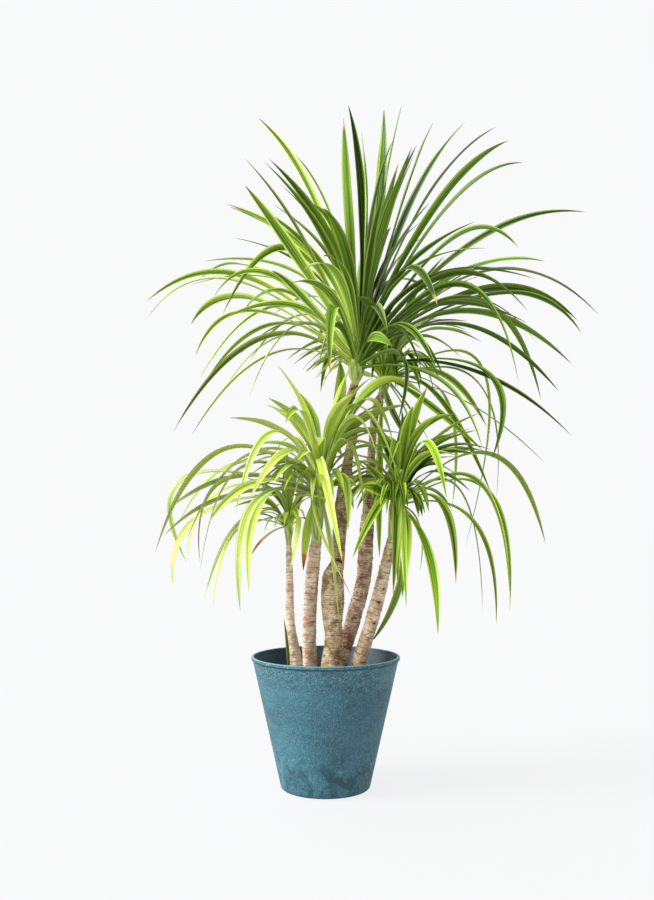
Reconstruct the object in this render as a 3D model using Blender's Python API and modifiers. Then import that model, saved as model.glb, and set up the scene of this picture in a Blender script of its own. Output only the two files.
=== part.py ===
"""Potted dracaena: five ringed canes in the soil of a tapered pot, each with a crown of strap leaves.

Metres, +Z up, the front towards -Y, the middle of the pot's foot at the origin.
Places that end in "seen" are as a viewer in front sees them, on the upright plane
through the pot's middle. Each is then moved in or out along the line of sight.
"""

import collections
import math
import random

import bmesh
import bpy
from mathutils import Matrix, Vector
from mathutils.bvhtree import BVHTree

# The viewer: how far in front of the pot's middle, and how high.
EYE_DISTANCE = 2.2
EYE_HEIGHT = 0.617

# The gap kept between pieces that touch, and the distance that welds a stem's end caps on
GAP = 0.0003
WELD = 0.00001

# Pot: a straight taper, a thin lip at the top, a small step inside it and a rounded foot
POT_HEIGHT = 0.293
RIM_RADIUS = 0.165
BASE_RADIUS = 0.0985
WALL = 0.006
POT_FLOOR = 0.009
LIP_DEPTH = 0.008
LIP_OVERHANG = 0.003
LIP_ROUNDING = 0.002
LIP_BEVEL = 0.0015
FOOT_ROUNDING = 0.008
FOOT_STEPS = 3
INNER_CORNER = 0.004
INNER_STEP_DEPTH = 0.014
INNER_STEP = 0.0015
POT_SIDES = 40
SHARP_ANGLE = math.radians(35)

# Soil: level rings near the middle, then down a little to the pot's wall
SOIL_DROP = 0.062
SOIL_RINGS = (0.055, 0.105)
SOIL_EDGE_DROP = 0.004
SOIL_CORNER = 0.005
SOIL_UNEVENNESS = 0.0018
SOIL_WAVES_ACROSS = 61
SOIL_WAVES_BACK = 53

# Canes: buried in plain holes, and ringed by the scars of old leaves
HOLE_SIDES = 12
CANE_BURIED_DEPTH = 0.065
SCAR_SPACING = 0.034
SCAR_RELIEF = 0.035
LINE_STEPS = 300
ROUND_RESOLUTION = 2
SHOOT_RINGS = 6

# Green stem tips: a short collar in line with the cane, then rings
STEM_COLLAR = 0.006
STEM_RINGS = 6

# Blades: widths and places as shares of the widest width and of the length
BLADE_SEGMENTS = 5
BLADE_LEAST_THICKNESS = 0.0008
BLADE_KEEL = 0.16
BLADE_WIDEST_AT = 0.4
BLADE_BASE_WIDTH = 0.3
BLADE_TAPER = 1.8
STRAIGHT_SHARE = 0.2

# Where leaves grow from: shares of the stem's height and of its radius
LOWEST_ROOT = 0.2
HIGHEST_ROOT = 0.93
ROOT_OFFSET = 0.7

# Finding room: how far a leaf may be moved along the line of sight, and how often one is drawn again
CLEARANCE = 0.004
ROOTED_SEGMENTS = 1
DEPTH_STEP = 0.02
MOST_SHIFTS = 17
MOST_TRIES = 30

# Outline leaves: a leaf this much above the stem's foot grows from its top
CROWN_RISE = 0.45
HALFWAY_DEPTH = 0.6
WIDTH_RANGE = (0.85, 1.1)
OUTLINE_ROLL = (0.3, 0.9)

# Fill leaves: from the lowest to the highest, how steeply they leave the stem and end
FIRST_FILL_DRAW = 500
GOLDEN_ANGLE = math.radians(137.5)
TURN_SPREAD = 0.5
FIRST_LAUNCH = 48
LAST_LAUNCH = 84
LAUNCH_SPREAD = 6
FIRST_END = -70
LAST_END = 60
END_POWER = 1.4
END_SPREAD = 15
SHORTEST_SHARE = 0.8
OUT_SHARE = 0.5
OVER_SHARE = 0.55
FILL_ROLL = 0.6

Leaf = collections.namedtuple("Leaf", "root bend tip width roll")
Crown = collections.namedtuple("Crown", "name cane stem outline fill lengths width colour seed")

# Each cane's middle line: across seen, up seen, depth, radius.
CANES = {
    "cane_thin": [
        (-0.062, 0.232, -0.024, 0.0158),
        (-0.066, 0.272, -0.025, 0.0155),
        (-0.074, 0.328, -0.028, 0.0120),
        (-0.079, 0.372, -0.032, 0.0095),
        (-0.080, 0.461, -0.040, 0.0078),
        (-0.082, 0.539, -0.046, 0.0060),
    ],
    "cane_left": [
        (-0.034, 0.235, 0.018, 0.0165),
        (-0.035, 0.283, 0.015, 0.0160),
        (-0.037, 0.328, 0.010, 0.0155),
        (-0.034, 0.417, 0.000, 0.0147),
        (-0.026, 0.506, -0.015, 0.0138),
        (-0.021, 0.548, -0.025, 0.0115),
    ],
    "cane_tall": [
        (0.012, 0.232, -0.021, 0.0255),
        (0.014, 0.267, -0.020, 0.0250),
        (0.018, 0.328, -0.018, 0.0195),
        (0.016, 0.372, -0.016, 0.0215),
        (0.016, 0.417, -0.014, 0.0255),
        (0.017, 0.470, -0.012, 0.0225),
        (0.027, 0.506, -0.010, 0.0150),
        (0.033, 0.595, -0.006, 0.0155),
        (0.041, 0.662, -0.003, 0.0145),
        (0.052, 0.740, 0.000, 0.0100),
        (0.061, 0.790, 0.002, 0.0105),
        (0.052, 0.844, 0.004, 0.0105),
        (0.064, 0.895, 0.005, 0.0090),
    ],
    "cane_rear": [
        (0.028, 0.235, 0.044, 0.0150),
        (0.036, 0.283, 0.045, 0.0150),
        (0.061, 0.372, 0.052, 0.0170),
        (0.084, 0.461, 0.060, 0.0165),
        (0.090, 0.550, 0.068, 0.0168),
        (0.097, 0.639, 0.076, 0.0125),
        (0.102, 0.740, 0.085, 0.0090),
        (0.112, 0.844, 0.095, 0.0082),
        (0.124, 0.870, 0.098, 0.0080),
    ],
    "cane_right": [
        (0.066, 0.232, -0.011, 0.0165),
        (0.072, 0.272, -0.012, 0.0165),
        (0.090, 0.328, -0.015, 0.0150),
        (0.116, 0.417, -0.020, 0.0145),
        (0.137, 0.506, -0.026, 0.0122),
        (0.147, 0.551, -0.030, 0.0100),
    ],
}

# The leaves that make each crown's outline: halfway across seen, halfway up seen,
# tip across seen, tip up seen, depth of the tip behind the crown's middle.
TOP_OUTLINE = [
    (-0.02, 1.30, -0.15, 1.49, 0.16),
    (0.02, 1.25, -0.07, 1.41, -0.16),
    (-0.05, 1.22, -0.18, 1.40, -0.20),
    (-0.07, 1.19, -0.18, 1.34, -0.24),
    (-0.08, 1.20, -0.23, 1.05, -0.08),
    (-0.14, 1.15, -0.28, 1.13, 0.15),
    (-0.19, 1.14, -0.40, 1.08, 0.08),
    (-0.21, 1.13, -0.40, 1.04, -0.10),
    (-0.12, 1.14, -0.25, 1.09, -0.14),
    (-0.17, 1.09, -0.30, 1.03, 0.12),
    (-0.11, 1.07, -0.28, 0.91, -0.06),
    (-0.14, 1.00, -0.34, 0.79, -0.07),
    (-0.13, 0.96, -0.30, 0.78, 0.09),
    (-0.06, 1.03, -0.17, 0.87, -0.20),
    (0.05, 1.28, 0.04, 1.49, -0.14),
    (0.08, 1.31, 0.05, 1.52, 0.14),
    (0.09, 1.26, 0.08, 1.46, 0.06),
    (0.12, 1.30, 0.13, 1.51, 0.10),
    (0.10, 1.25, 0.15, 1.44, -0.12),
    (0.13, 1.33, 0.17, 1.52, 0.22),
    (0.15, 1.25, 0.21, 1.44, -0.14),
    (0.18, 1.33, 0.24, 1.48, 0.18),
    (0.19, 1.30, 0.31, 1.48, 0.08),
    (0.23, 1.32, 0.38, 1.47, 0.12),
    (0.25, 1.30, 0.41, 1.44, -0.12),
    (0.27, 1.29, 0.44, 1.39, -0.18),
    (0.34, 1.22, 0.58, 1.28, 0.05),
    (0.28, 1.22, 0.43, 1.20, -0.12),
    (0.29, 1.14, 0.49, 1.17, -0.08),
    (0.36, 1.15, 0.61, 1.05, -0.10),
    (0.36, 1.11, 0.56, 1.04, 0.13),
    (0.27, 1.14, 0.45, 1.06, -0.22),
    (0.29, 1.09, 0.47, 0.99, -0.20),
    (0.32, 1.06, 0.55, 0.94, 0.08),
    (0.36, 1.03, 0.60, 0.89, 0.14),
    (0.17, 1.15, 0.25, 1.07, -0.26),
    (0.30, 1.12, 0.43, 0.90, -0.16),
    (0.34, 1.08, 0.48, 0.86, 0.16),
    (0.25, 0.91, 0.35, 0.75, -0.26),
    (0.32, 0.93, 0.55, 0.78, -0.16),
    (0.17, 0.96, 0.16, 0.81, -0.16),
    (0.02, 1.07, 0.01, 0.92, -0.20),
    (0.10, 1.00, 0.15, 0.98, -0.22),
    (-0.05, 1.09, -0.12, 1.15, -0.22),
    (-0.08, 1.10, -0.19, 1.05, -0.09),
    (0.39, 1.10, 0.57, 1.01, 0.06),
    (0.35, 0.93, 0.37, 0.73, -0.20),
    (-0.12, 1.03, -0.28, 0.88, 0.10),
    (-0.16, 1.06, -0.29, 0.96, -0.16),
    (0.30, 1.03, 0.52, 0.88, -0.06),
]
REAR_OUTLINE = [
    (0.34, 0.90, 0.38, 0.64, 0.06),
    (0.26, 0.92, 0.36, 0.80, 0.12),
    (0.25, 0.87, 0.37, 0.65, -0.06),
    (0.31, 0.86, 0.49, 0.72, 0.04),
    (0.22, 0.86, 0.35, 0.75, -0.08),
    (0.27, 0.86, 0.28, 0.61, 0.14),
    (0.35, 0.93, 0.31, 0.53, -0.02),
    (0.14, 0.86, 0.20, 0.75, -0.12),
    (0.12, 0.71, 0.12, 0.51, 0.04),
    (0.10, 0.77, 0.15, 0.63, 0.08),
    (0.19, 0.84, 0.23, 0.77, 0.08),
    (0.15, 0.93, 0.19, 0.98, 0.14),
    (0.13, 0.93, 0.16, 1.01, 0.20),
    (0.19, 0.81, 0.20, 0.72, 0.12),
    (0.09, 0.92, 0.06, 0.92, 0.14),
]
LEFT_OUTLINE = [
    (-0.01, 0.72, 0.04, 0.49, -0.17),
    (-0.02, 0.60, 0.06, 0.42, -0.13),
    (0.01, 0.54, 0.03, 0.37, -0.09),
    (-0.05, 0.83, -0.09, 0.81, -0.16),
    (-0.12, 0.79, -0.20, 0.61, -0.12),
    (-0.23, 0.75, -0.38, 0.52, -0.05),
    (-0.17, 0.74, -0.31, 0.55, -0.09),
    (-0.19, 0.71, -0.28, 0.48, -0.13),
    (-0.31, 0.69, -0.31, 0.50, 0.04),
    (-0.08, 0.78, -0.16, 0.64, 0.11),
    (-0.14, 0.64, -0.17, 0.43, -0.15),
    (-0.16, 0.63, -0.19, 0.39, -0.20),
    (-0.13, 0.66, -0.24, 0.57, 0.06),
    (0.05, 0.77, 0.09, 0.58, -0.16),
    (0.07, 0.85, 0.17, 0.67, -0.13),
    (0.10, 0.89, 0.22, 0.87, -0.03),
    (-0.25, 0.61, -0.37, 0.57, 0.08),
    (-0.27, 0.61, -0.34, 0.45, 0.10),
    (-0.22, 0.61, -0.32, 0.51, 0.14),
    (0.03, 0.86, 0.03, 0.95, 0.08),
    (0.05, 0.81, 0.09, 0.86, 0.04),
    (0.08, 0.86, 0.15, 0.77, -0.04),
    (0.04, 0.69, 0.05, 0.57, -0.12),
    (0.03, 0.68, 0.07, 0.67, -0.06),
    (-0.20, 0.69, -0.36, 0.61, 0.02),
    (-0.23, 0.66, -0.31, 0.50, -0.10),
    (-0.23, 0.68, -0.28, 0.50, -0.16),
    (-0.15, 0.68, -0.26, 0.59, -0.20),
    (-0.21, 0.65, -0.36, 0.56, -0.12),
    (-0.20, 0.72, -0.33, 0.58, 0.06),
    (0.06, 0.82, 0.12, 0.72, -0.12),
    (-0.08, 0.75, -0.17, 0.64, -0.22),
    (-0.04, 0.58, -0.05, 0.48, -0.08),
]
SMALL_OUTLINE = [
    (-0.06, 0.59, -0.08, 0.48, -0.09),
    (-0.12, 0.63, -0.16, 0.65, -0.06),
    (-0.12, 0.60, -0.19, 0.57, -0.06),
    (-0.13, 0.56, -0.17, 0.51, -0.10),
    (-0.19, 0.59, -0.27, 0.42, -0.04),
    (-0.20, 0.57, -0.25, 0.40, -0.08),
    (-0.09, 0.65, -0.09, 0.72, 0.03),
    (-0.06, 0.64, -0.05, 0.71, 0.04),
]
RIGHT_OUTLINE = [
    (0.16, 0.63, 0.15, 0.42, -0.17),
    (0.17, 0.61, 0.18, 0.40, -0.14),
    (0.16, 0.77, 0.14, 0.70, -0.12),
    (0.22, 0.77, 0.27, 0.64, -0.15),
    (0.25, 0.75, 0.37, 0.75, 0.03),
    (0.37, 0.74, 0.49, 0.54, 0.06),
    (0.36, 0.66, 0.41, 0.39, 0.05),
    (0.34, 0.68, 0.41, 0.43, -0.05),
    (0.26, 0.63, 0.29, 0.45, -0.13),
    (0.33, 0.59, 0.38, 0.36, -0.08),
    (0.23, 0.52, 0.25, 0.34, -0.17),
    (0.30, 0.66, 0.35, 0.39, 0.09),
    (0.21, 0.58, 0.21, 0.48, 0.09),
    (0.17, 0.76, 0.17, 0.84, 0.03),
    (0.20, 0.78, 0.29, 0.83, -0.04),
    (0.12, 0.69, 0.07, 0.73, -0.04),
    (0.12, 0.63, 0.06, 0.51, -0.10),
    (0.17, 0.47, 0.10, 0.32, 0.06),
    (0.12, 0.66, 0.08, 0.67, -0.10),
    (0.18, 0.58, 0.17, 0.42, -0.08),
    (0.16, 0.63, 0.16, 0.44, -0.21),
]

# Each stem that leaves grow from: across seen, up seen, depth, radius.
CROWNS = [
    Crown("crown_small", "cane_thin",
          [(-0.082, 0.575, -0.047, 0.0105), (-0.081, 0.612, -0.048, 0.0065)],
          SMALL_OUTLINE, 12, (0.12, 0.17), 0.016, (0.42, 0.62, 0.13), 11),
    Crown("crown_left", "cane_left",
          [(-0.017, 0.630, -0.035, 0.0160), (-0.012, 0.690, -0.040, 0.0185), (-0.010, 0.750, -0.043, 0.0100)],
          LEFT_OUTLINE, 22, (0.20, 0.27), 0.024, (0.44, 0.66, 0.14), 23),
    Crown("crown_right", "cane_right",
          [(0.158, 0.620, -0.032, 0.0175), (0.165, 0.685, -0.034, 0.0095)],
          RIGHT_OUTLINE, 20, (0.18, 0.26), 0.024, (0.36, 0.58, 0.12), 37),
    Crown("crown_rear", "cane_rear",
          [(0.130, 0.900, 0.099, 0.0160), (0.136, 0.945, 0.100, 0.0095)],
          REAR_OUTLINE, 15, (0.26, 0.36), 0.023, (0.33, 0.50, 0.10), 41),
    Crown("crown_top", "cane_tall",
          [(0.067, 0.915, 0.005, 0.0155), (0.073, 0.965, 0.005, 0.0220), (0.082, 1.030, 0.005, 0.0120)],
          TOP_OUTLINE, 40, (0.38, 0.54), 0.028, (0.13, 0.32, 0.04), 67),
]

# The thin green shoot beside the thin cane: across seen, up seen, depth, radius.
SHOOT = [
    (-0.080, 0.232, -0.050, 0.0028),
    (-0.084, 0.300, -0.052, 0.0026),
    (-0.092, 0.335, -0.055, 0.0020),
    (-0.093, 0.377, -0.058, 0.0009),
]


def clear_scene():
    for obj in list(bpy.data.objects):
        bpy.data.objects.remove(obj, do_unlink=True)


def new_collection(name, helper=False):
    collection = bpy.data.collections.new(name)
    bpy.context.scene.collection.children.link(collection)
    collection.hide_render = helper
    return collection


def new_material(name, colour, roughness):
    material = bpy.data.materials.new(name)
    material.use_nodes = True
    shader = material.node_tree.nodes["Principled BSDF"]
    shader.inputs["Base Color"].default_value = (*colour, 1.0)
    shader.inputs["Roughness"].default_value = roughness
    shader.inputs["Metallic"].default_value = 0.0
    return material


def new_object(name, points, faces, collection, material=None):
    mesh = bpy.data.meshes.new(name)
    mesh.from_pydata([tuple(p) for p in points], [], faces)
    mesh.update()
    obj = bpy.data.objects.new(name, mesh)
    collection.objects.link(obj)
    if material:
        mesh.materials.append(material)
    return obj


def apply_modifiers(obj):
    graph = bpy.context.evaluated_depsgraph_get()
    made = bpy.data.meshes.new_from_object(obj.evaluated_get(graph))
    obj.modifiers.clear()
    obj.data = made


def as_seen(across, up, depth):
    """The place at this depth that a viewer sees at (across, up) on the plane through the pot."""
    nearer = 1 + depth / EYE_DISTANCE
    return Vector((across * nearer, depth, EYE_HEIGHT + (up - EYE_HEIGHT) * nearer))


def smooth_line(stations, share):
    """A Catmull-Rom curve through the stations, at a share of the way along them."""
    place = min(share, 1.0) * (len(stations) - 1)
    index = min(int(place), len(stations) - 2)
    t = place - index
    before = stations[max(index - 1, 0)]
    start, end = stations[index], stations[index + 1]
    after = stations[min(index + 2, len(stations) - 1)]
    return tuple(
        0.5 * (2 * b + (c - a) * t + (2 * a - 5 * b + 4 * c - d) * t**2 + (3 * b - a - 3 * c + d) * t**3)
        for a, b, c, d in zip(before, start, end, after)
    )


def even_line(stations, count):
    """Evenly spaced stations along the smooth line."""
    fine = [smooth_line(stations, step / LINE_STEPS) for step in range(LINE_STEPS + 1)]
    places = [as_seen(*station[:3]) for station in fine]
    reached = [0.0]
    for a, b in zip(places, places[1:]):
        reached.append(reached[-1] + (b - a).length)
    even = []
    step = 0
    for number in range(count):
        wanted = reached[-1] * number / (count - 1)
        while step < LINE_STEPS - 1 and reached[step + 1] < wanted:
            step += 1
        t = (wanted - reached[step]) / (reached[step + 1] - reached[step])
        even.append(tuple(a + (b - a) * t for a, b in zip(fine[step], fine[step + 1])))
    return even


def line_length(stations):
    places = [as_seen(*station[:3]) for station in stations]
    return sum((b - a).length for a, b in zip(places, places[1:]))


def scar_count(stations):
    """The rings of a cane, two for each scar and its dip."""
    return 2 * round(line_length(stations) / SCAR_SPACING) + 1


def stem_line(stations, count, relief=0.0):
    """Evenly spaced points and radii on a smooth line. Every second point stands out by the relief."""
    line = []
    for ring, (across, up, depth, radius) in enumerate(even_line(stations, count)):
        scar = relief if ring % 2 else -relief
        line.append((as_seen(across, up, depth), radius * (1 + scar)))
    return line


def planted_line(stations, count, relief=0.0):
    """A stem that stands in the soil: straight down from just above the soil to its buried end."""
    line = stem_line(stations, count, relief)
    foot, radius = line[0]
    above = Vector((foot.x, foot.y, soil_top() + 2 * SOIL_UNEVENNESS))
    below = Vector((foot.x, foot.y, soil_top() - CANE_BURIED_DEPTH))
    return [(below, radius), (above, radius), *line[1:]]


def cane_line(name):
    return planted_line(CANES[name], scar_count(CANES[name]), SCAR_RELIEF)


def crown_line(crown):
    """The green stem tip, which starts in line with its cane and a hair above its end."""
    (before, _), (end, radius) = cane_line(crown.cane)[-2:]
    along = (end - before).normalized()
    straight = [(end + along * GAP, radius), (end + along * STEM_COLLAR, radius)]
    return straight + stem_line(crown.stem, STEM_RINGS)


def round_stem(name, line, collection, material):
    """A round stem through points and radii, closed at both ends."""
    curve = bpy.data.curves.new(name, "CURVE")
    curve.dimensions = "3D"
    curve.bevel_depth = 1.0
    curve.bevel_resolution = ROUND_RESOLUTION
    curve.use_fill_caps = True
    spline = curve.splines.new("POLY")
    spline.points.add(len(line) - 1)
    for point, (place, radius) in zip(spline.points, line):
        point.co = (*place, 1.0)
        point.radius = radius
    curve.materials.append(material)
    obj = bpy.data.objects.new(name, curve)
    collection.objects.link(obj)
    return obj


def as_mesh(obj):
    """The same object as one closed mesh, its end caps welded on."""
    graph = bpy.context.evaluated_depsgraph_get()
    made = bpy.data.meshes.new_from_object(obj.evaluated_get(graph))
    weld = bmesh.new()
    weld.from_mesh(made)
    bmesh.ops.remove_doubles(weld, verts=weld.verts, dist=WELD)
    weld.to_mesh(made)
    weld.free()
    name = obj.name
    collection = obj.users_collection[0]
    bpy.data.objects.remove(obj, do_unlink=True)
    mesh_object = bpy.data.objects.new(name, made)
    collection.objects.link(mesh_object)
    return mesh_object


def pot_radius(height):
    """The outside radius of the pot's straight tapered side."""
    below_lip = POT_HEIGHT - LIP_DEPTH
    return BASE_RADIUS + (RIM_RADIUS - LIP_OVERHANG - BASE_RADIUS) * height / below_lip


def soil_top():
    return POT_HEIGHT - SOIL_DROP


def pot_profile():
    """Radius and height, from the middle of the inside floor over the lip to the underside."""
    inner_step_height = POT_HEIGHT - INNER_STEP_DEPTH
    lip_bottom = POT_HEIGHT - LIP_DEPTH
    points = [
        (0.0, POT_FLOOR),
        (pot_radius(POT_FLOOR) - WALL - INNER_CORNER, POT_FLOOR),
        (pot_radius(POT_FLOOR + INNER_CORNER) - WALL, POT_FLOOR + INNER_CORNER),
        (pot_radius(inner_step_height) - WALL, inner_step_height),
        (pot_radius(inner_step_height) - WALL + INNER_STEP, inner_step_height + INNER_STEP),
        (RIM_RADIUS - WALL, POT_HEIGHT - LIP_BEVEL),
        (RIM_RADIUS - WALL + LIP_BEVEL, POT_HEIGHT),
        (RIM_RADIUS - LIP_ROUNDING, POT_HEIGHT),
        (RIM_RADIUS, POT_HEIGHT - LIP_ROUNDING),
        (RIM_RADIUS, lip_bottom + LIP_BEVEL),
        (pot_radius(lip_bottom), lip_bottom),
        (pot_radius(FOOT_ROUNDING), FOOT_ROUNDING),
    ]
    for step in range(1, FOOT_STEPS + 1):
        angle = math.pi / 2 * step / FOOT_STEPS
        points.append((
            pot_radius(FOOT_ROUNDING) - FOOT_ROUNDING * (1 - math.cos(angle)),
            FOOT_ROUNDING * (1 - math.sin(angle)),
        ))
    return [*points, (0.0, 0.0)]


def soil_profile():
    """Radius and height, from the middle of the top out to the wall and down to the pot's floor."""
    top = soil_top()
    edge = top - SOIL_EDGE_DROP
    inside = WALL + GAP * 2
    bottom = POT_FLOOR + GAP
    return [
        (0.0, top),
        *[(ring, top) for ring in SOIL_RINGS],
        (pot_radius(edge) - inside, edge),
        (pot_radius(bottom + SOIL_CORNER) - inside, bottom + SOIL_CORNER),
        (pot_radius(bottom) - inside - SOIL_CORNER, bottom),
        (0.0, bottom),
    ]


def lathe(name, profile, collection, material):
    """Turns a profile of radius and height about the upright axis."""
    edges = [(i, i + 1) for i in range(len(profile) - 1)]
    mesh = bpy.data.meshes.new(name)
    mesh.from_pydata([(radius, 0.0, height) for radius, height in profile], edges, [])
    obj = bpy.data.objects.new(name, mesh)
    collection.objects.link(obj)
    mesh.materials.append(material)
    screw = obj.modifiers.new("turn", "SCREW")
    screw.axis = "Z"
    screw.steps = POT_SIDES
    screw.render_steps = POT_SIDES
    screw.use_merge_vertices = True
    screw.merge_threshold = 0.0001
    apply_modifiers(obj)
    obj.data.shade_smooth()
    obj.data.set_sharp_from_angle(angle=SHARP_ANGLE)
    return obj


def make_pot(collection):
    material = new_material("pot_stone", (0.085, 0.215, 0.27), 0.62)
    return lathe("pot", pot_profile(), collection, material)


def make_hole(name, stations, holes):
    """A plain round hole that clears a stem's buried foot all round."""
    bottom, radius = planted_line(stations, 3)[0]
    top = soil_top() + 4 * SOIL_UNEVENNESS
    bottom.z -= GAP
    bpy.ops.mesh.primitive_cylinder_add(
        vertices=HOLE_SIDES,
        radius=(radius + GAP) / math.cos(math.pi / HOLE_SIDES),
        depth=top - bottom.z,
        location=(bottom.x, bottom.y, (top + bottom.z) / 2),
    )
    hole = bpy.context.object
    hole.name = name + "_hole"
    for collection in list(hole.users_collection):
        collection.objects.unlink(hole)
    holes.objects.link(hole)
    hole.hide_render = True
    hole.display_type = "WIRE"


def make_soil(collection, cutters):
    """The soil, uneven on top, with a plain hole for each cane and for the shoot."""
    soil = lathe("soil", soil_profile(), collection, new_material("soil_earth", (0.05, 0.032, 0.02), 0.95))
    for vertex in soil.data.vertices:
        if vertex.co.z > soil_top() - 0.001:
            wave = math.sin(SOIL_WAVES_ACROSS * vertex.co.x) * math.cos(SOIL_WAVES_BACK * vertex.co.y)
            vertex.co.z += SOIL_UNEVENNESS * wave
    holes = bpy.data.collections.new("cane_holes")
    cutters.children.link(holes)
    for name, stations in [*CANES.items(), ("shoot", SHOOT)]:
        make_hole(name, stations, holes)
    cut = soil.modifiers.new("cane holes", "BOOLEAN")
    cut.operation = "DIFFERENCE"
    cut.solver = "EXACT"
    cut.operand_type = "COLLECTION"
    cut.collection = holes
    return soil


def make_cane(name, collection, material):
    return round_stem(name, cane_line(name), collection, material)


def make_shoot(collection):
    material = new_material("shoot_green", (0.12, 0.30, 0.05), 0.5)
    return round_stem("shoot", planted_line(SHOOT, SHOOT_RINGS), collection, material)


def blade_width(share):
    """How wide a blade is at a share of its length, of its widest: narrow neck, long fine tip."""
    if share < BLADE_WIDEST_AT:
        return BLADE_BASE_WIDTH + (1 - BLADE_BASE_WIDTH) * math.sin(math.pi / 2 * share / BLADE_WIDEST_AT)
    return 1 - ((share - BLADE_WIDEST_AT) / (1 - BLADE_WIDEST_AT)) ** BLADE_TAPER


def blade_side(leaf):
    """The way across the blade before its roll: square to its arch, and level where it is straight."""
    outward = leaf.tip - leaf.root
    level = Vector((-outward.y, outward.x, 0.0)).normalized()
    arch = (leaf.bend - leaf.root).normalized().cross((leaf.tip - leaf.bend).normalized())
    if arch.dot(level) < 0:
        arch.negate()
    return arch + STRAIGHT_SHARE * level


def blade_frame(leaf, share):
    """The middle of the blade at a share of its length, its side and its upper side."""
    start = leaf.root.lerp(leaf.bend, share)
    end = leaf.bend.lerp(leaf.tip, share)
    along = (end - start).normalized()
    across = blade_side(leaf)
    side = (across - across.dot(along) * along).normalized()
    side = Matrix.Rotation(leaf.roll, 3, along) @ side
    return start.lerp(end, share), side, along.cross(side)


def blade(leaf, spare=0.0):
    """A closed blade of three-cornered sections, two edges and a keel below, with a fine tip.

    Its upper and lower sides are split alike, so that they never meet where the blade twists.
    """
    points = []
    faces = [(0, 2, 1)]
    for station in range(BLADE_SEGMENTS):
        share = station / BLADE_SEGMENTS
        middle, side, upper = blade_frame(leaf, share)
        half = leaf.width / 2 * blade_width(share)
        thick = max(BLADE_KEEL * half, BLADE_LEAST_THICKNESS) / 2 + spare
        points += [
            middle + side * (half + spare) + upper * thick,
            middle - side * (half + spare) + upper * thick,
            middle - upper * thick,
        ]
    points.append(leaf.tip)
    for left in range(0, 3 * (BLADE_SEGMENTS - 1), 3):
        right, keel = left + 1, left + 2
        next_left, next_right, next_keel = left + 3, left + 4, left + 5
        faces += [(left, right, next_right), (left, next_right, next_left)]
        faces += [(right, keel, next_right), (keel, next_keel, next_right)]
        faces += [(keel, left, next_keel), (left, next_left, next_keel)]
    left = 3 * (BLADE_SEGMENTS - 1)
    right, keel, tip = left + 1, left + 2, left + 3
    faces += [(left, right, tip), (right, keel, tip), (keel, left, tip)]
    return points, faces


def is_clear(leaf, obstacles):
    """Whether the blade, widened a little, meets none of the obstacles."""
    tree = BVHTree.FromPolygons(*blade(leaf, CLEARANCE), all_triangles=True)
    return not any(tree.overlap(obstacle) for obstacle in obstacles)


def crosses_itself(leaf):
    points, faces = blade(leaf)
    tree = BVHTree.FromPolygons(points, faces, all_triangles=True)
    return any(not set(faces[a]) & set(faces[b]) for a, b in tree.overlap(tree))


def outer_tree(leaf):
    """The faces of a blade past its rooted part, where it should pass its neighbours by."""
    points, faces = blade(leaf)
    outer = [face for face in faces if min(face) >= 3 * ROOTED_SEGMENTS]
    return BVHTree.FromPolygons(points, outer, all_triangles=True)


def best_leaf(choices, obstacles, outers):
    """The first choice clear of everything, or else the first that only passes through neighbours."""
    spare = None
    for leaf in choices:
        if crosses_itself(leaf) or not is_clear(leaf, obstacles):
            continue
        outer = outer_tree(leaf)
        if not any(outer.overlap(other) for other in outers):
            return leaf
        spare = spare or leaf
    return spare


def leaf_root(crown, share, heading):
    """A place inside the stem, off its middle on the side that the leaf heads for."""
    across, up, depth, radius = smooth_line(crown.stem, share)
    return as_seen(across, up, depth) + heading * radius * ROOT_OFFSET


def root_share(height):
    """The share of the stem's height where a leaf grows, from its height in the crown, 0 to 1."""
    return LOWEST_ROOT + (HIGHEST_ROOT - LOWEST_ROOT) * height


def outline_choices(crown, number):
    """A hand-placed leaf, then the same leaf moved in or out along the line of sight."""
    half_across, half_up, tip_across, tip_up, depth = crown.outline[number]
    draw = random.Random(1000 * crown.seed + number)
    rise = min(max((half_up - crown.stem[0][1]) / CROWN_RISE, 0.0), 1.0)
    share = root_share(rise * draw.uniform(0.6, 1.0))
    width = crown.width * draw.uniform(*WIDTH_RANGE)
    roll = draw.uniform(*OUTLINE_ROLL) * draw.choice((1, 1, -1))
    if tip_across < crown.stem[0][0]:
        roll = -roll
    middle_depth = crown.stem[-1][2]
    for attempt in range(MOST_SHIFTS):
        shift = DEPTH_STEP * ((attempt + 1) // 2) * (1 if attempt % 2 else -1)
        halfway = as_seen(half_across, half_up, middle_depth + HALFWAY_DEPTH * (depth + shift))
        tip = as_seen(tip_across, tip_up, middle_depth + depth + shift)
        outward = tip - leaf_root(crown, share, Vector())
        root = leaf_root(crown, share, Vector((outward.x, outward.y, 0.0)).normalized())
        yield Leaf(root, 2 * halfway - (root + tip) / 2, tip, width, roll)


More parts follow.
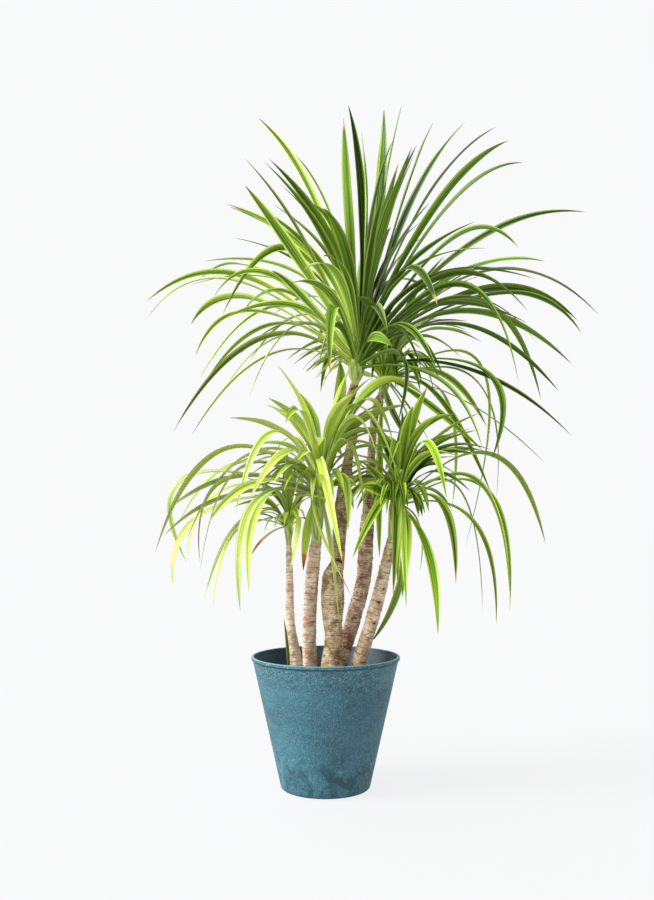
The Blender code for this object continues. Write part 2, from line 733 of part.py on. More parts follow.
def fill_choices(crown, number):
    """A leaf for the rest of the crown: the golden angle turns round the stem, the higher the steeper."""
    draw = random.Random(1000 * crown.seed + FIRST_FILL_DRAW + number)
    height = (number + 0.5) / crown.fill
    upright = Vector((0.0, 0.0, 1.0))
    for _ in range(MOST_TRIES):
        turn = GOLDEN_ANGLE * number + draw.uniform(-TURN_SPREAD, TURN_SPREAD)
        launch = FIRST_LAUNCH + (LAST_LAUNCH - FIRST_LAUNCH) * height
        launch = math.radians(launch + draw.uniform(-LAUNCH_SPREAD, LAUNCH_SPREAD))
        end = FIRST_END + (LAST_END - FIRST_END) * height**END_POWER
        end = math.radians(end + draw.uniform(-END_SPREAD, END_SPREAD))
        longer = SHORTEST_SHARE + (1 - SHORTEST_SHARE) * math.sin(math.pi * height)
        length = draw.uniform(*crown.lengths) * longer
        heading = Vector((math.cos(turn), math.sin(turn), 0.0))
        root = leaf_root(crown, root_share(height), heading)
        out = heading * math.cos(launch) + upright * math.sin(launch)
        over = heading * math.cos(end) + upright * math.sin(end)
        bend = root + out * length * OUT_SHARE
        tip = bend + over * length * OVER_SHARE
        width = crown.width * draw.uniform(*WIDTH_RANGE)
        yield Leaf(root, bend, tip, width, draw.uniform(-FILL_ROLL, FILL_ROLL))


def crown_leaves(crown, obstacles):
    leaves = []
    outers = []
    outline = [outline_choices(crown, number) for number in range(len(crown.outline))]
    fill = [fill_choices(crown, number) for number in range(crown.fill)]
    for choices in outline + fill:
        leaf = best_leaf(choices, obstacles, outers)
        if leaf:
            leaves.append(leaf)
            outers.append(outer_tree(leaf))
    return leaves


def tree_of(meshes):
    points, faces = [], []
    for mesh_points, mesh_faces in meshes:
        start = len(points)
        points += mesh_points
        faces += [tuple(start + corner for corner in face) for face in mesh_faces]
    return BVHTree.FromPolygons(points, faces)


def surface_tree(obj):
    """The faces of an object, for finding what would cross it."""
    graph = bpy.context.evaluated_depsgraph_get()
    mesh = obj.evaluated_get(graph).to_mesh()
    points = [vertex.co.copy() for vertex in mesh.vertices]
    return BVHTree.FromPolygons(points, [tuple(face.vertices) for face in mesh.polygons])


def grow_leaves(still, stems):
    """The leaves of every crown, each clear of what stands still and of the other crowns."""
    fixed = [surface_tree(obj) for obj in still]
    stem_trees = {name: surface_tree(obj) for name, obj in stems.items()}
    grown = {}
    trees = []
    for crown in CROWNS:
        others = [tree for name, tree in stem_trees.items() if name != crown.name]
        obstacles = [*fixed, *others, *trees]
        leaves = crown_leaves(crown, obstacles)
        grown[crown.name] = leaves
        trees.append(tree_of([blade(leaf) for leaf in leaves]))
    return grown


def keep_outer_shell(obj):
    """Keeps the shell with the most corners. Hollows sealed between blades become solid."""
    mesh = bmesh.new()
    mesh.from_mesh(obj.data)
    unseen = set(mesh.verts)
    shells = []
    while unseen:
        shell = set()
        edge = {unseen.pop()}
        while edge:
            shell |= edge
            edge = {e.other_vert(v) for v in edge for e in v.link_edges} - shell
        unseen -= shell
        shells.append(shell)
    shells.sort(key=len)
    for shell in shells[:-1]:
        bmesh.ops.delete(mesh, geom=list(shell), context="VERTS")
    mesh.to_mesh(obj.data)
    mesh.free()


def make_crown(crown, stem, leaves):
    """One solid: the green stem tip with every leaf sunk into it."""
    material = stem.data.materials[0]
    repeats = bpy.data.collections.new(crown.name + "_leaves")
    bpy.context.scene.collection.children.link(repeats)
    for number, leaf in enumerate(leaves):
        points, faces = blade(leaf)
        new_object(f"{crown.name}_leaf_{number}", points, faces, repeats, material)
    join = stem.modifiers.new("leaves", "BOOLEAN")
    join.operation = "UNION"
    join.solver = "MANIFOLD"
    join.operand_type = "COLLECTION"
    join.collection = repeats
    apply_modifiers(stem)
    keep_outer_shell(stem)
    for obj in list(repeats.objects):
        bpy.data.objects.remove(obj, do_unlink=True)
    bpy.data.collections.remove(repeats)


def make_stems(collection):
    """The green stem tips, one for each crown, as closed meshes ready to be joined."""
    stems = {}
    for crown in CROWNS:
        material = new_material(crown.name + "_leaf", crown.colour, 0.45)
        stem = round_stem(crown.name, crown_line(crown), collection, material)
        stems[crown.name] = as_mesh(stem)
    return stems


def main():
    clear_scene()
    plant = new_collection("potted_dracaena")
    cutters = new_collection("cutters", helper=True)
    still = [make_pot(plant)]
    make_soil(plant, cutters)
    pale_bark = new_material("cane_bark_pale", (0.62, 0.50, 0.38), 0.8)
    brown_bark = new_material("cane_bark_brown", (0.34, 0.22, 0.15), 0.85)
    for name in CANES:
        still.append(make_cane(name, plant, brown_bark if name == "cane_rear" else pale_bark))
    still.append(make_shoot(plant))
    stems = make_stems(plant)
    grown = grow_leaves(still, stems)
    for crown in CROWNS:
        make_crown(crown, stems[crown.name], grown[crown.name])


main()
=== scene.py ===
import collections
import math
import random

import bpy
from mathutils import Matrix, Vector, noise
from mathutils.bvhtree import BVHTree


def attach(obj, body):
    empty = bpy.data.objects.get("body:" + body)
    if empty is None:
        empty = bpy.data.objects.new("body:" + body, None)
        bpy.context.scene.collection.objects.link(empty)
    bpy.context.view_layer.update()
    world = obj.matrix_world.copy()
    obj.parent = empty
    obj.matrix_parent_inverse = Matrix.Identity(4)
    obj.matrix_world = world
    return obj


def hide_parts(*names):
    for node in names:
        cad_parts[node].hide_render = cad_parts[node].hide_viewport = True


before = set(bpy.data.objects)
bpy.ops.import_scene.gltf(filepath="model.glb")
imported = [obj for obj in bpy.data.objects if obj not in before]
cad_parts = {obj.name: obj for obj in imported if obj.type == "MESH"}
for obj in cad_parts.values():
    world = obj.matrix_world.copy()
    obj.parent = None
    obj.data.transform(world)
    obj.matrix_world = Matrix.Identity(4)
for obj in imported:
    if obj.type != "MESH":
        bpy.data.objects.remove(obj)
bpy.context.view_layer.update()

# The looks of a potted dracaena: metres, +Z up, the front towards -Y, the middle of the
# pot's foot at the origin. The leaves are placed by the same rule as the solids they
# replace. Places that end in "seen" are as a viewer in front sees them, on the upright
# plane through the pot's middle, and are then moved in or out along the line of sight.

# The viewer: how far in front of the pot's middle, and how high
EYE_DISTANCE = 2.2
EYE_HEIGHT = 0.617

# The photograph: its size in pixels, where the eye level and the middle fall in it, and how
# many pixels a metre takes at one metre
PHOTO_WIDTH = 654
PHOTO_HEIGHT = 900
EYE_LINE_DOWN = 509.9
MIDDLE_ACROSS = 325.6
PIXELS_PER_SLOPE = 987.9
SENSOR = 36

# The gap kept between pieces that touch
GAP = 0.0003

# Pot: a straight taper, a thin lip at the top, a small step inside it and a rounded foot
POT_HEIGHT = 0.293
RIM_RADIUS = 0.165
BASE_RADIUS = 0.0985
WALL = 0.006
POT_FLOOR = 0.009
LIP_DEPTH = 0.008
LIP_BOTTOM = POT_HEIGHT - LIP_DEPTH
LIP_OVERHANG = 0.003
LIP_ROUNDING = 0.002
LIP_BEVEL = 0.0015
FOOT_ROUNDING = 0.008
INNER_CORNER = 0.004
INNER_STEP_DEPTH = 0.014
INNER_STEP = 0.0015

# Soil: how far below the rim, lower at the pot's wall, with low waves across and back
SOIL_DROP = 0.062
SOIL_TOP = POT_HEIGHT - SOIL_DROP
SOIL_EDGE_DROP = 0.004
SOIL_CORNER = 0.005
SOIL_UNEVENNESS = 0.0018
SOIL_WAVES_ACROSS = 61
SOIL_WAVES_BACK = 53

# Canes: their buried depth, and the plain solids' rings, which stand for the scars of old
# leaves. Lines are measured in this many steps, and plain stem tips are this round.
CANE_BURIED_DEPTH = 0.065
SCAR_SPACING = 0.034
SCAR_RELIEF = 0.035
LINE_STEPS = 300
ROUND_RESOLUTION = 2

# Green stem tips: a short collar in line with the cane, then rings
STEM_COLLAR = 0.006
STEM_RINGS = 6

# Plain blades: widths and places as shares of the widest width and of the length
BLADE_SEGMENTS = 5
BLADE_LEAST_THICKNESS = 0.0008
BLADE_KEEL = 0.16
BLADE_WIDEST_AT = 0.4
BLADE_BASE_WIDTH = 0.3
BLADE_TAPER = 1.8
STRAIGHT_SHARE = 0.2

# Where leaves grow from: shares of the stem's height and of its radius
ROOT_SHARES = (0.2, 0.93)
ROOT_OFFSET = 0.7

# Random draws: a leaf's own seed is its number and its crown's seed times this
SEED_STEP = 1000

# Finding room: the clearance, the rooted part that may pass through neighbours, how far a leaf
# may be moved along the line of sight, and how often one is drawn again
CLEARANCE = 0.004
ROOTED_SEGMENTS = 1
DEPTH_STEP = 0.02
MOST_SHIFTS = 17
MOST_TRIES = 30

# Outline leaves, read in whole centimetres: one that rises this far above the stem's foot
# grows from the stem's top, or from a little lower, by a share in this range
CENTIMETRES = 100
CROWN_RISE = 0.45
RISE_RANGE = (0.6, 1.0)
HALFWAY_DEPTH = 0.6
WIDTH_RANGE = (0.85, 1.1)
OUTLINE_ROLL = (0.3, 0.9)

# Fill leaves: from the lowest to the highest, at how many degrees they leave the stem and end
FIRST_FILL_DRAW = 500
GOLDEN_ANGLE = math.radians(137.5)
TURN_SPREAD = 0.5
LAUNCHES = (48, 84)
LAUNCH_SPREAD = 6
ENDS = (-70, 60)
END_POWER = 1.4
END_SPREAD = 15
SHORTEST_SHARE = 0.8
OUT_SHARE = 0.5
OVER_SHARE = 0.55
FILL_ROLL = 0.6

# Extra leaves, which only the looks have, by the rule for fill leaves
FIRST_EXTRA = 200
GOLDEN_SHARE = 0.618
EXTRA_SLIMNESS = 0.8

# Fine blades: stations along, and the ring of places across with whether each is below
FINE_STATIONS = 26
FINE_RING = ((-1, 0), (-0.5, 0), (0, 0), (0.5, 0), (1, 0), (0.5, 1), (0, 1), (-0.5, 1))

# A fine blade's width: a clasping base, then widest further out, more so on one that hangs
UPRIGHT_WIDENING = 0.25
CLASP_WIDTH = 0.2
CLASP_LENGTH = 0.05
SPEAR_SHIFT = 1.35
HANGING_SHIFT = 0.3
HANGING_DROP = 0.3
DROOP_SHARES = (0.25, 0.5, 0.75, 1.0)

# How far a fine blade turns about its length, and the share of it where that turn is nothing
FINE_TWIST = 0.5
UNTWISTED_AT = 0.25
ARCH_LEVELLING = 0.4

# The channel along a fine blade, deeper at its base, and the ripple of its margins
CHANNEL_RANGE = (0.16, 0.34)
BASE_CHANNEL = 0.7
BASE_CHANNEL_LENGTH = 0.07
CHANNEL_POWER = 1.5
CHANNEL_LEVEL = 0.45
RIPPLE_RANGE = (0.02, 0.09)
WAVES_RANGE = (1.5, 3.5)

# A fine blade's thickness, which shrinks from base to tip and from keel to margin
FINE_THICKNESS = 0.0008
BASE_THICKENING = 1.5
KEEL_THICKENING = 1.25

# What each point of a leaf tells its material: whether it is below, its place across and
# along, the leaf's tone, where it turns dry, and how far it reaches to the left, towards the
# sun, which lightens its colour as painted light. Bands and lines across a leaf are patches
# of one pattern, and leaves of other tones lie apart in it.
MARKS = ("under", "across", "along", "tone", "dry", "painted_light")
FINE_DRAW = 900
TIP_DRY_RANGE = (0.965, 1.12)
# How far to the left a leaf reaches for its full painted light
LIT_REACH = 0.3
BANDS_ACROSS = 1.9
LINES_ACROSS = 5.0
LEAVES_APART = 90.0
DRY_FROM = {
    ("crown_left", 1): 0.9,
    ("crown_left", 26): 0.8,
    ("crown_left", 32): 0.82,
    ("crown_small", 3): 0.6,
}

# Fine bark: for each cane the spacing, depth and width of its leaf scars, how they wander, its
# roughness, a seed, and its dark notches as height, turn from the front in degrees, and size
Bark = collections.namedtuple("Bark", "spacing depth groove_width wander roughness seed notches")
BARKS = {
    "cane_thin": Bark(0.0130, 0.0007, 0.0014, 0.35, 0.0010, 3.1, []),
    "cane_left": Bark(0.0120, 0.0009, 0.0014, 0.35, 0.0012, 7.9, []),
    "cane_right": Bark(0.0130, 0.0010, 0.0014, 0.40, 0.0013, 12.7,
                       [(0.37, 25, 0.0035), (0.415, 10, 0.0025), (0.446, 30, 0.0025)]),
    "cane_tall": Bark(0.0048, 0.0009, 0.0010, 0.90, 0.0012, 17.3,
                      [(0.506, 0, 0.004), (0.503, 40, 0.004)]),
    "cane_rear": Bark(0.0065, 0.0008, 0.0012, 0.90, 0.0016, 23.9, []),
}
BARK_STEP = 0.0012
BARK_SIDES = 56
STEM_SIDES = 20

# The roughness of bark and soil: how fast its layers fade, their ratio, and their number
FRACTAL = (0.8, 2.0, 4)
ROUGH_SCALE = 210
COARSE_SCALE = 0.3
COARSE_SHARE = 0.7
WANDER_SCALE = 0.14

# A leaf scar: how strong, how that varies round the cane and from scar to scar, and its lip,
# in groove widths. A notch is this much wider than high, and this deep beside a scar.
SCAR_STRENGTH = 0.6
SCAR_VARIATION = 0.6
SCAR_TURN_SCALE = 0.8
SCAR_DRAW_STEP = 3.7
LIP_SHIFT = 1.6
LIP_SPREAD = 1.5
NOTCH_WIDENING = 1.5
NOTCH_DEPTH = 1.6

# The shoot, a narrow leaf: its foot is sunk this many crumbs below the soil
SHOOT_WIDTH = 0.006
SHOOT_ROLL = 1.2
SHOOT_SUNK = 4
SHOOT_TONE = 0.3
SHOOT_DRY_FROM = 1.1

# Fine pot: its sides, the steps of its rounded edges, and the faint crease below the lip
FINE_POT_SIDES = 160
BEVEL_STEPS = 4
ROUNDING_STEPS = 5
FOOT_STEPS = 6
CREASE_DROP = 0.055
CREASE_DEPTH = 0.0004
CREASE_REACH = 0.002

# Fine soil: a top of fine crumbs that fades out at the pot's wall, and loose crumbs on it
SOIL_TOP_RINGS = 44
SOIL_SIDES = 120
SOIL_CRUMB = 0.0022
SOIL_CRUMB_SCALE = 90
SOIL_EDGE_FADE = 0.02
SOIL_DRAW = 5
CRUMBS = 900
CRUMB_MARGIN = 0.006
CRUMB_SIZES = (0.0012, 0.0038)
CRUMB_SINK = 0.2
CRUMB_LUMPS = (0.6, 1.2)

# The angle in degrees above which an edge stays sharp
LEAF_SHARP = 55
BARK_SHARP = 60
POT_SHARP = 40
SOIL_SHARP = 50

# Studio: a pale floor and sky, the sky brighter above on the left, and a sun turned to the
# left of straight in front
FLOOR = -0.0002
FLOOR_REACH = 40.0
FLOOR_SHADE = (0.06, 0.0603, 0.0609, 1.0)
FLOOR_GLOW = 0.877
SKY_SHADE = (0.945, 0.947, 0.955, 1.0)
SKY_BAND = (0.48, 0.62)
SKY_SIDES = (-0.75, 0.6)
SKY_LEFT = 2.8
SKY_RIGHT = 0.1
SUN_TURN = math.radians(74)
SUN_RISE = math.radians(32)
SUN_STRENGTH = 4.6
SUN_SPREAD = math.radians(30)


Leaf = collections.namedtuple("Leaf", "root bend tip width roll")
Crown = collections.namedtuple(
    "Crown", "name cane stem outline fill lengths width seed extra extra_heights slimness")

# Each cane's middle line: across seen, up seen, depth, radius.
CANES = {
    "cane_thin": [
        (-0.062, 0.232, -0.024, 0.0158), (-0.066, 0.272, -0.025, 0.0155),
        (-0.074, 0.328, -0.028, 0.0120), (-0.079, 0.372, -0.032, 0.0095),
        (-0.080, 0.461, -0.040, 0.0078), (-0.082, 0.539, -0.046, 0.0060),
    ],
    "cane_left": [
        (-0.034, 0.235, 0.018, 0.0165), (-0.035, 0.283, 0.015, 0.0160), (-0.037, 0.328, 0.010, 0.0155),
        (-0.034, 0.417, 0.000, 0.0147), (-0.026, 0.506, -0.015, 0.0138), (-0.021, 0.548, -0.025, 0.0115),
    ],
    "cane_tall": [
        (0.012, 0.232, -0.021, 0.0255), (0.014, 0.267, -0.020, 0.0250), (0.018, 0.328, -0.018, 0.0195),
        (0.016, 0.372, -0.016, 0.0215), (0.016, 0.417, -0.014, 0.0255), (0.017, 0.470, -0.012, 0.0225),
        (0.027, 0.506, -0.010, 0.0150), (0.033, 0.595, -0.006, 0.0155), (0.041, 0.662, -0.003, 0.0145),
        (0.052, 0.740, 0.000, 0.0100), (0.061, 0.790, 0.002, 0.0105), (0.052, 0.844, 0.004, 0.0105),
        (0.064, 0.895, 0.005, 0.0090),
    ],
    "cane_rear": [
        (0.028, 0.235, 0.044, 0.0150), (0.036, 0.283, 0.045, 0.0150), (0.061, 0.372, 0.052, 0.0170),
        (0.084, 0.461, 0.060, 0.0165), (0.090, 0.550, 0.068, 0.0168), (0.097, 0.639, 0.076, 0.0125),
        (0.102, 0.740, 0.085, 0.0090), (0.112, 0.844, 0.095, 0.0082), (0.124, 0.870, 0.098, 0.0080),
    ],
    "cane_right": [
        (0.066, 0.232, -0.011, 0.0165), (0.072, 0.272, -0.012, 0.0165), (0.090, 0.328, -0.015, 0.0150),
        (0.116, 0.417, -0.020, 0.0145), (0.137, 0.506, -0.026, 0.0122), (0.147, 0.551, -0.030, 0.0100),
    ],
}

# The leaves that make each crown's outline, in whole centimetres: halfway across seen,
# halfway up seen, tip across seen, tip up seen, depth of the tip behind the crown's middle.
TOP_OUTLINE = [
    (-2, 130, -15, 149, 16), (2, 125, -7, 141, -16), (-5, 122, -18, 140, -20), (-7, 119, -18, 134, -24),
    (-8, 120, -23, 105, -8), (-14, 115, -28, 113, 15), (-19, 114, -40, 108, 8),
    (-21, 113, -40, 104, -10), (-12, 114, -25, 109, -14), (-17, 109, -30, 103, 12),
    (-11, 107, -28, 91, -6), (-14, 100, -34, 79, -7), (-13, 96, -30, 78, 9), (-6, 103, -17, 87, -20),
    (5, 128, 4, 149, -14), (8, 131, 5, 152, 14), (9, 126, 8, 146, 6), (12, 130, 13, 151, 10),
    (10, 125, 15, 144, -12), (13, 133, 17, 152, 22), (15, 125, 21, 144, -14), (18, 133, 24, 148, 18),
    (19, 130, 31, 148, 8), (23, 132, 38, 147, 12), (25, 130, 41, 144, -12), (27, 129, 44, 139, -18),
    (34, 122, 58, 128, 5), (28, 122, 43, 120, -12), (29, 114, 49, 117, -8), (36, 115, 61, 105, -10),
    (36, 111, 56, 104, 13), (27, 114, 45, 106, -22), (29, 109, 47, 99, -20), (32, 106, 55, 94, 8),
    (36, 103, 60, 89, 14), (17, 115, 25, 107, -26), (30, 112, 43, 90, -16), (34, 108, 48, 86, 16),
    (25, 91, 35, 75, -26), (32, 93, 55, 78, -16), (17, 96, 16, 81, -16), (2, 107, 1, 92, -20),
    (10, 100, 15, 98, -22), (-5, 109, -12, 115, -22), (-8, 110, -19, 105, -9), (39, 110, 57, 101, 6),
    (35, 93, 37, 73, -20), (-12, 103, -28, 88, 10), (-16, 106, -29, 96, -16), (30, 103, 52, 88, -6),
]
REAR_OUTLINE = [
    (34, 90, 38, 64, 6), (26, 92, 36, 80, 12), (25, 87, 37, 65, -6), (31, 86, 49, 72, 4),
    (22, 86, 35, 75, -8), (27, 86, 28, 61, 14), (35, 93, 31, 53, -2), (14, 86, 20, 75, -12),
    (12, 71, 12, 51, 4), (10, 77, 15, 63, 8), (19, 84, 23, 77, 8), (15, 93, 19, 98, 14),
    (13, 93, 16, 101, 20), (19, 81, 20, 72, 12), (9, 92, 6, 92, 14),
]
LEFT_OUTLINE = [
    (-1, 72, 4, 49, -17), (-2, 60, 6, 42, -13), (1, 54, 3, 37, -9), (-5, 83, -9, 81, -16),
    (-12, 79, -20, 61, -12), (-23, 75, -38, 52, -5), (-17, 74, -31, 55, -9), (-19, 71, -28, 48, -13),
    (-31, 69, -31, 50, 4), (-8, 78, -16, 64, 11), (-14, 64, -17, 43, -15), (-16, 63, -19, 39, -20),
    (-13, 66, -24, 57, 6), (5, 77, 9, 58, -16), (7, 85, 17, 67, -13), (10, 89, 22, 87, -3),
    (-25, 61, -37, 57, 8), (-27, 61, -34, 45, 10), (-22, 61, -32, 51, 14), (3, 86, 3, 95, 8),
    (5, 81, 9, 86, 4), (8, 86, 15, 77, -4), (4, 69, 5, 57, -12), (3, 68, 7, 67, -6),
    (-20, 69, -36, 61, 2), (-23, 66, -31, 50, -10), (-23, 68, -28, 50, -16), (-15, 68, -26, 59, -20),
    (-21, 65, -36, 56, -12), (-20, 72, -33, 58, 6), (6, 82, 12, 72, -12), (-8, 75, -17, 64, -22),
    (-4, 58, -5, 48, -8),
]
SMALL_OUTLINE = [
    (-6, 59, -8, 48, -9), (-12, 63, -16, 65, -6), (-12, 60, -19, 57, -6), (-13, 56, -17, 51, -10),
    (-19, 59, -27, 42, -4), (-20, 57, -25, 40, -8), (-9, 65, -9, 72, 3), (-6, 64, -5, 71, 4),
]
RIGHT_OUTLINE = [
    (16, 63, 15, 42, -17), (17, 61, 18, 40, -14), (16, 77, 14, 70, -12), (22, 77, 27, 64, -15),
    (25, 75, 37, 75, 3), (37, 74, 49, 54, 6), (36, 66, 41, 39, 5), (34, 68, 41, 43, -5),
    (26, 63, 29, 45, -13), (33, 59, 38, 36, -8), (23, 52, 25, 34, -17), (30, 66, 35, 39, 9),
    (21, 58, 21, 48, 9), (17, 76, 17, 84, 3), (20, 78, 29, 83, -4), (12, 69, 7, 73, -4),
    (12, 63, 6, 51, -10), (17, 47, 10, 32, 6), (12, 66, 8, 67, -10), (18, 58, 17, 42, -8),
    (16, 63, 16, 44, -21),
]

# Each crown: its cane, the stem its leaves grow from as across seen, up seen, depth, radius,
# its outline, how many leaves fill it, their lengths, the widest width and a seed. Then come
# the extra leaves, how high in the crown they grow, and how slim all its fine leaves are.
CROWNS = [
    Crown("crown_small", "cane_thin",
          [(-0.082, 0.575, -0.047, 0.0105), (-0.081, 0.612, -0.048, 0.0065)],
          SMALL_OUTLINE, 12, (0.12, 0.17), 0.016, 11, 12, (0, 0.7), 0.9),
    Crown("crown_left", "cane_left",
          [(-0.017, 0.630, -0.035, 0.0160), (-0.012, 0.690, -0.040, 0.0185),
           (-0.010, 0.750, -0.043, 0.0100)],
          LEFT_OUTLINE, 22, (0.20, 0.27), 0.024, 23, 30, (0, 0.7), 0.92),
    Crown("crown_right", "cane_right",
          [(0.158, 0.620, -0.032, 0.0175), (0.165, 0.685, -0.034, 0.0095)],
          RIGHT_OUTLINE, 20, (0.18, 0.26), 0.024, 37, 44, (0, 0.7), 0.88),
    Crown("crown_rear", "cane_rear",
          [(0.130, 0.900, 0.099, 0.0160), (0.136, 0.945, 0.100, 0.0095)],
          REAR_OUTLINE, 15, (0.26, 0.36), 0.023, 41, 40, (0, 0.7), 0.8),
    Crown("crown_top", "cane_tall",
          [(0.067, 0.915, 0.005, 0.0155), (0.073, 0.965, 0.005, 0.0220),
           (0.082, 1.030, 0.005, 0.0120)],
          TOP_OUTLINE, 40, (0.38, 0.54), 0.028, 67, 14, (0.6, 0.98), 0.76),
]

# The thin green shoot beside the thin cane: its foot, halfway and top, as across seen, up
# seen, depth
SHOOT = [(-0.080, 0.232, -0.050), (-0.084, 0.300, -0.052), (-0.093, 0.377, -0.058)]


def between(start, end, share):
    """The value at a share of the way from start to end."""
    return start + (end - start) * share


def as_seen(across, up, depth):
    """The place at this depth that a viewer sees at (across, up) on the plane through the pot."""
    nearer = 1 + depth / EYE_DISTANCE
    return Vector((across * nearer, depth, EYE_HEIGHT + (up - EYE_HEIGHT) * nearer))


def smooth_line(stations, share):
    """A smooth curve through the stations (Catmull-Rom), at a share of the way along them."""
    place = min(share, 1.0) * (len(stations) - 1)
    index = min(int(place), len(stations) - 2)
    t = place - index
    before = stations[max(index - 1, 0)]
    start, end = stations[index], stations[index + 1]
    after = stations[min(index + 2, len(stations) - 1)]
    return tuple(
        0.5 * (2 * b + (c - a) * t + (2 * a - 5 * b + 4 * c - d) * t**2 + (3 * b - a - 3 * c + d) * t**3)
        for a, b, c, d in zip(before, start, end, after)
    )


def distances(stations):
    """How far along a line of stations each one lies."""
    places = [as_seen(*station[:3]) for station in stations]
    reached = [0.0]
    for a, b in zip(places, places[1:]):
        reached.append(reached[-1] + (b - a).length)
    return reached


def even_line(stations, count):
    """Evenly spaced stations along the smooth line."""
    fine = [smooth_line(stations, step / LINE_STEPS) for step in range(LINE_STEPS + 1)]
    reached = distances(fine)
    even = []
    step = 0
    for number in range(count):
        wanted = reached[-1] * number / (count - 1)
        while step < LINE_STEPS - 1 and reached[step + 1] < wanted:
            step += 1
        t = (wanted - reached[step]) / (reached[step + 1] - reached[step])
        even.append(tuple(between(a, b, t) for a, b in zip(fine[step], fine[step + 1])))
    return even


def stem_line(stations, count, relief=0.0):
    """Evenly spaced points and radii on a smooth line. Every second point stands out by the relief."""
    line = []
    for ring, (across, up, depth, radius) in enumerate(even_line(stations, count)):
        scar = relief if ring % 2 else -relief
        line.append((as_seen(across, up, depth), radius * (1 + scar)))
    return line


def planted_line(stations, count, relief=0.0):
    """A stem that stands in the soil: straight down from just above the soil to its buried end."""
    line = stem_line(stations, count, relief)
    foot, radius = line[0]
    above = Vector((foot.x, foot.y, SOIL_TOP + 2 * SOIL_UNEVENNESS))
    below = Vector((foot.x, foot.y, SOIL_TOP - CANE_BURIED_DEPTH))
    return [(below, radius), (above, radius), *line[1:]]


def cane_line(name):
    """The plain cane's line, with two rings for each scar and its dip."""
    rings = 2 * round(distances(CANES[name])[-1] / SCAR_SPACING) + 1
    return planted_line(CANES[name], rings, SCAR_RELIEF)


def crown_line(crown):
    """The green stem tip, which starts in line with its cane and a hair above its end."""
    (before, _), (end, radius) = cane_line(crown.cane)[-2:]
    along = (end - before).normalized()
    straight = [(end + along * GAP, radius), (end + along * STEM_COLLAR, radius)]
    return straight + stem_line(crown.stem, STEM_RINGS)


def add_object(name, data):
    """Puts an object with this data in the scene."""
    obj = bpy.data.objects.new(name, data)
    bpy.context.scene.collection.objects.link(obj)
    return obj


def round_stem(line):
    """A plain round stem through points and radii, for finding what would cross it."""
    curve = bpy.data.curves.new("guide", "CURVE")
    curve.dimensions = "3D"
    curve.bevel_depth = 1.0
    curve.bevel_resolution = ROUND_RESOLUTION
    curve.use_fill_caps = True
    spline = curve.splines.new("POLY")
    spline.points.add(len(line) - 1)
    for point, (place, radius) in zip(spline.points, line):
        point.co = (*place, 1.0)
        point.radius = radius
    return add_object("guide", curve)


def pot_radius(height):
    """The outside radius of the pot's straight tapered side."""
    return BASE_RADIUS + (RIM_RADIUS - LIP_OVERHANG - BASE_RADIUS) * height / LIP_BOTTOM


def blade_width(share):
    """How wide a blade is at a share of its length, of its widest: narrow neck, long fine tip."""
    if share < BLADE_WIDEST_AT:
        return between(BLADE_BASE_WIDTH, 1, math.sin(math.pi / 2 * share / BLADE_WIDEST_AT))
    return 1 - ((share - BLADE_WIDEST_AT) / (1 - BLADE_WIDEST_AT)) ** BLADE_TAPER


def blade_side(leaf):
    """The way across the blade before its roll: square to its arch, and level where it is straight."""
    outward = leaf.tip - leaf.root
    level = Vector((-outward.y, outward.x, 0.0)).normalized()
    arch = (leaf.bend - leaf.root).normalized().cross((leaf.tip - leaf.bend).normalized())
    if arch.dot(level) < 0:
        arch.negate()
    return arch + STRAIGHT_SHARE * level


def blade_frame(leaf, share):
    """The middle of the blade at a share of its length, its side and its upper side."""
    start = leaf.root.lerp(leaf.bend, share)
    end = leaf.bend.lerp(leaf.tip, share)
    along = (end - start).normalized()
    across = blade_side(leaf)
    side = (across - across.dot(along) * along).normalized()
    side = Matrix.Rotation(leaf.roll, 3, along) @ side
    return start.lerp(end, share), side, along.cross(side)


def blade_faces(ring, stations, upper):
    """The faces of a closed blade, for a ring of points at each station and then the tip.

    So many sides of the ring as upper says are above, and the others below. Above and below
    are split alike, so that they never meet where the blade twists.
    """
    faces = []
    last = ring * (stations - 1)
    for start in range(0, last, ring):
        for corner in range(ring):
            a, b = start + corner, start + (corner + 1) % ring
            if corner < upper:
                faces += [(a, b, b + ring), (a, b + ring, a + ring)]
            else:
                faces += [(a, b, a + ring), (b, b + ring, a + ring)]
    for corner in range(ring):
        faces.append((last + corner, last + (corner + 1) % ring, last + ring))
    faces.append(tuple(reversed(range(ring))))
    return faces


def blade(leaf, spare=0.0):
    """A closed blade of three-cornered sections, two edges and a keel below, with a fine tip."""
    points = []
    for station in range(BLADE_SEGMENTS):
        share = station / BLADE_SEGMENTS
        middle, side, upper = blade_frame(leaf, share)
        half = leaf.width / 2 * blade_width(share)
        thick = max(BLADE_KEEL * half, BLADE_LEAST_THICKNESS) / 2 + spare
        points += [
            middle + side * (half + spare) + upper * thick,
            middle - side * (half + spare) + upper * thick,
            middle - upper * thick,
        ]
    return [*points, leaf.tip], blade_faces(3, BLADE_SEGMENTS, 1)


def is_clear(leaf, obstacles):
    """Whether the blade, widened a little, meets none of the obstacles."""
    tree = BVHTree.FromPolygons(*blade(leaf, CLEARANCE), all_triangles=True)
    return not any(tree.overlap(obstacle) for obstacle in obstacles)


def crosses_itself(leaf):
    points, faces = blade(leaf)
    tree = BVHTree.FromPolygons(points, faces, all_triangles=True)
    return any(not set(faces[a]) & set(faces[b]) for a, b in tree.overlap(tree))


def outer_tree(leaf):
    """The faces of a blade past its rooted part, where it should pass its neighbours by."""
    points, faces = blade(leaf)
    outer = [face for face in faces if min(face) >= 3 * ROOTED_SEGMENTS]
    return BVHTree.FromPolygons(points, outer, all_triangles=True)


